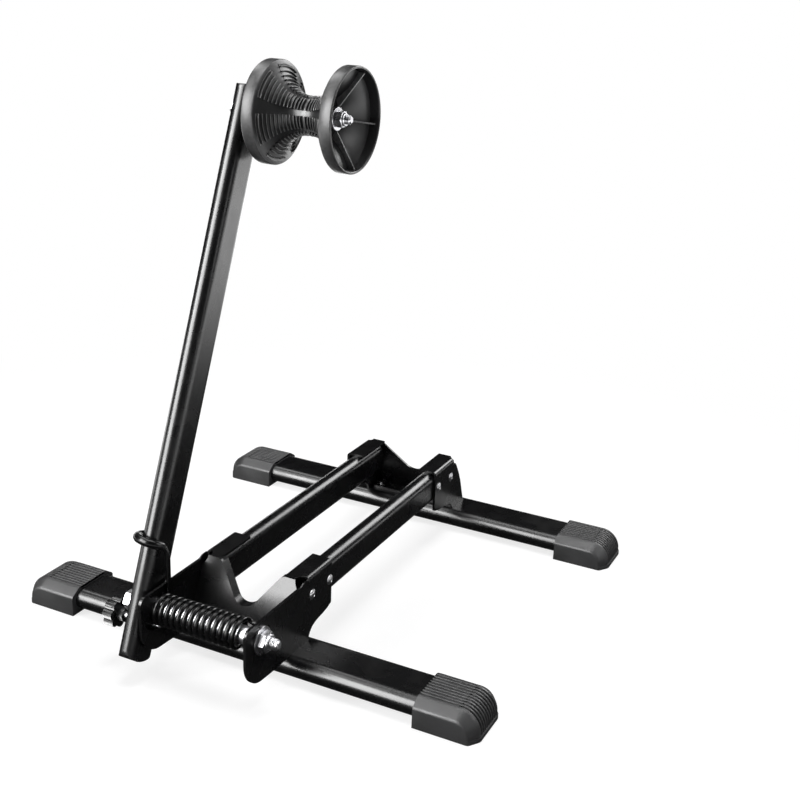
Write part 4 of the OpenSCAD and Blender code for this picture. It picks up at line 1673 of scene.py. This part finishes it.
@dataclass(frozen=True)
class Card:
    """A card that only glosses see, as a studio stands round dark goods; black without glow."""

    name: str
    at: Point
    size: Pair
    glow: float = 0.0

    def build(self) -> None:
        """Stand the card so that it faces the rack's middle."""
        bpy.ops.object.select_all(action="DESELECT")
        bpy.ops.mesh.primitive_plane_add(size=1.0)
        card = bpy.context.object
        card.name = self.name
        card.scale = (*self.size, 1.0)
        card.location = self.at
        facing = Vector(MIDDLE) - Vector(self.at)
        card.rotation_euler = facing.to_track_quat("Z", "Y").to_euler()
        made = bpy.data.materials.new(self.name)
        made.use_nodes = True
        nodes = made.node_tree.nodes
        nodes.remove(nodes["Principled BSDF"])
        shader = add_node(nodes, "Emission", {"Strength": self.glow})
        made.node_tree.links.new(shader.outputs[0], nodes["Material Output"].inputs["Surface"])
        card.data.materials.append(made)
        card.visible_camera = False
        card.visible_diffuse = False
        card.visible_shadow = False


LAMPS = (
    Lamp("top", (0.1, 0.1, 1.9), (0.5, 1.2), 22.0),
    Lamp("right", (1.7, -0.2, 1.0), (0.3, 1.2), 4.0),
    Lamp("left", (-1.1, -1.3, 1.1), (0.4, 0.9), 16.0),
)
CARDS = (
    Card("strip_back", around(18.0, 27.0, 2.0), (0.9, 0.8), 11.0),
    Card("strip_high_left", around(-62.0, 58.0, 2.0), (0.5, 1.3), 7.0),
    Card("strip_edges", around(-122.0, 55.0, 2.1), (0.8, 0.8), 6.5),
    Card("strip_front_left", around(-155.0, 24.0, 2.0), (1.25, 1.7), 21.0),
    Card("strip_right", around(72.0, 35.0, 2.0), (0.7, 1.2), 5.0),
    Card("dark_left", around(-90.0, 22.0, 2.6), (5.0, 2.6)),
    Card("dark_right", around(90.0, 22.0, 2.6), (5.0, 2.6)),
    Card("dark_front", around(180.0, 22.0, 2.6), (5.0, 2.6)),
    Card("dark_back", around(0.0, 22.0, 2.6), (5.0, 2.6)),
    Card("dark_top", (0.0, 0.0, 2.8), (5.0, 5.0)),
)


@dataclass
class Studio:
    """Camera, lamps, cards, world and floor."""

    eye: Point = (0.53826, -0.96057, 0.61559)
    azimuth: float = math.radians(-25.5)
    elevation: float = math.radians(20.34)
    roll: float = math.radians(2.43)
    focal_pixels: float = 1219.37
    centre: Pair = (404.52, 399.32)
    picture: float = 800.0
    sensor: float = 36.0
    clip: float = 0.05
    fill: Point = (0.16, 0.16, 0.165)
    floor_size: float = 12.0
    floor_tone: float = 0.9
    floor_shadow: float = 0.3
    floor_glow: float = 0.78
    fade: Pair = (0.55, 0.85)
    # Glow of the floor in glosses, by distance from the middle: painted shade near the rack and a painted
    # reflection brighter than the lit floor further off.
    painted_mirror_fade: Pair = (0.42, 1.5)
    painted_mirror_glow: Pair = (0.04, 4.5)

    def build(self) -> None:
        """Set up the whole studio."""
        self._camera()
        self._world()
        self._floor()
        for light in (*LAMPS, *CARDS):
            light.build()
        bpy.context.scene.view_settings.view_transform = "Standard"

    def _camera(self) -> None:
        """Place the camera where the photograph was taken."""
        look = Vector((math.sin(self.azimuth) * math.cos(self.elevation),
                       math.cos(self.azimuth) * math.cos(self.elevation),
                       -math.sin(self.elevation)))
        right = look.cross(Vector((0, 0, 1))).normalized()
        up = right.cross(look)
        across = math.cos(self.roll) * right + math.sin(self.roll) * up
        upward = -math.sin(self.roll) * right + math.cos(self.roll) * up
        data = bpy.data.cameras.new("camera")
        data.sensor_width = self.sensor
        data.lens = self.focal_pixels / self.picture * data.sensor_width
        data.shift_x = -(self.centre[0] - self.picture / 2) / self.picture
        data.shift_y = (self.centre[1] - self.picture / 2) / self.picture
        data.clip_start = self.clip
        camera = bpy.data.objects.new("camera", data)
        turn = Matrix((across, upward, -look)).transposed().to_4x4()
        camera.matrix_world = Matrix.Translation(Vector(self.eye)) @ turn
        bpy.context.scene.collection.objects.link(camera)
        bpy.context.scene.camera = camera

    def _world(self) -> None:
        """White where the camera, a gloss or glass looks, and a soft grey fill elsewhere."""
        world = bpy.data.worlds.new("studio")
        world.use_nodes = True
        nodes, links = world.node_tree.nodes, world.node_tree.links
        back = nodes["Background"]
        back.inputs["Color"].default_value = (*self.fill, 1.0)
        seen = add_node(nodes, "Background", {"Color": (1.0, 1.0, 1.0, 1.0)})
        path = add_node(nodes, "LightPath")
        camera_or_gloss = add_node(nodes, "Math", operation="MAXIMUM")
        any_look = add_node(nodes, "Math", operation="MAXIMUM")
        mix = add_node(nodes, "MixShader")
        link_all(links,
                 (path.outputs["Is Camera Ray"], camera_or_gloss.inputs[0]),
                 (path.outputs["Is Glossy Ray"], camera_or_gloss.inputs[1]),
                 (camera_or_gloss.outputs[0], any_look.inputs[0]),
                 (path.outputs["Is Transmission Ray"], any_look.inputs[1]),
                 (any_look.outputs[0], mix.inputs[0]),
                 (back.outputs[0], mix.inputs[1]),
                 (seen.outputs[0], mix.inputs[2]),
                 (mix.outputs[0], nodes["World Output"].inputs["Surface"]))
        bpy.context.scene.world = world

    def _floor(self) -> None:
        """Lay a white floor that keeps a soft shadow and fades into the background; in glosses it shows painted
        shade near the rack and a bright painted reflection further off.
        """
        bpy.ops.object.select_all(action="DESELECT")
        bpy.ops.mesh.primitive_plane_add(size=self.floor_size, location=(0, 0, 0))
        floor = bpy.context.object
        floor.name = "floor"
        paper = bpy.data.materials.new("white_paper")
        paper.use_nodes = True
        nodes, links = paper.node_tree.nodes, paper.node_tree.links
        nodes.remove(nodes["Principled BSDF"])
        path = add_node(nodes, "LightPath")
        place = add_node(nodes, "TexCoord")
        away = add_node(nodes, "VectorMath", operation="LENGTH")
        links.new(place.outputs["Object"], away.inputs[0])
        lit = add_node(nodes, "BsdfDiffuse", {"Color": (*(self.floor_tone,) * 3, 1.0)})
        shadowed = add_node(nodes, "BsdfDiffuse", {"Color": (*(self.floor_shadow,) * 3, 1.0)})
        glow = add_node(nodes, "Emission", {"Strength": self.floor_glow})
        near = add_node(nodes, "AddShader")
        link_all(links, (shadowed.outputs[0], near.inputs[0]), (glow.outputs[0], near.inputs[1]))
        far = add_node(nodes, "Emission")
        seen = self._faded(nodes, links, away.outputs["Value"], self.fade, near, far)
        # Glosses see painted shade on the floor near the rack and a bright painted reflection further off.
        painted_shade, painted_glow = (add_node(nodes, "Emission", {"Strength": s}) for s in self.painted_mirror_glow)
        painted_mirror = self._faded(nodes, links, away.outputs["Value"], self.painted_mirror_fade, painted_shade, painted_glow)
        glossy = add_node(nodes, "MixShader")
        whole = add_node(nodes, "MixShader")
        link_all(links,
                 (path.outputs["Is Glossy Ray"], glossy.inputs[0]),
                 (lit.outputs[0], glossy.inputs[1]),
                 (painted_mirror.outputs[0], glossy.inputs[2]),
                 (path.outputs["Is Camera Ray"], whole.inputs[0]),
                 (glossy.outputs[0], whole.inputs[1]),
                 (seen.outputs[0], whole.inputs[2]),
                 (whole.outputs[0], nodes["Material Output"].inputs["Surface"]))
        floor.data.materials.append(paper)

    @staticmethod
    def _faded(nodes: bpy.types.Nodes, links: bpy.types.NodeLinks, distance: bpy.types.NodeSocket,
               reach: Pair, near: bpy.types.Node, far: bpy.types.Node) -> bpy.types.Node:
        """Blend one shader into another over a stretch of distance.

        Args:
            nodes: The material's nodes.
            links: The material's links.
            distance: The socket that gives the distance.
            reach: Where the blend starts and ends, in metres.
            near: The shader before the stretch.
            far: The shader beyond it.

        Returns:
            The mixing node.
        """
        ramp = add_node(nodes, "MapRange", {"From Min": reach[0], "From Max": reach[1]},
                        interpolation_type="SMOOTHSTEP")
        mix = add_node(nodes, "MixShader")
        link_all(links,
                 (distance, ramp.inputs["Value"]),
                 (ramp.outputs["Result"], mix.inputs[0]),
                 (near.outputs[0], mix.inputs[1]),
                 (far.outputs[0], mix.inputs[2]))
        return mix


def main() -> None:
    """Dress the frame, build the pieces and light them."""
    logging.basicConfig(level=logging.INFO, format="%(name)s: %(message)s")
    shop = Workshop()
    shop.stock()
    for part in (Frame(), Spring(), ArmFoot(), Feet(), ReliefEdges(), Rivets(), PivotHardware(),
                 AxleHardware(), Roller(), LockScrew()):
        part.build(shop)
    Studio().build()


if __name__ == "__main__":
    main()
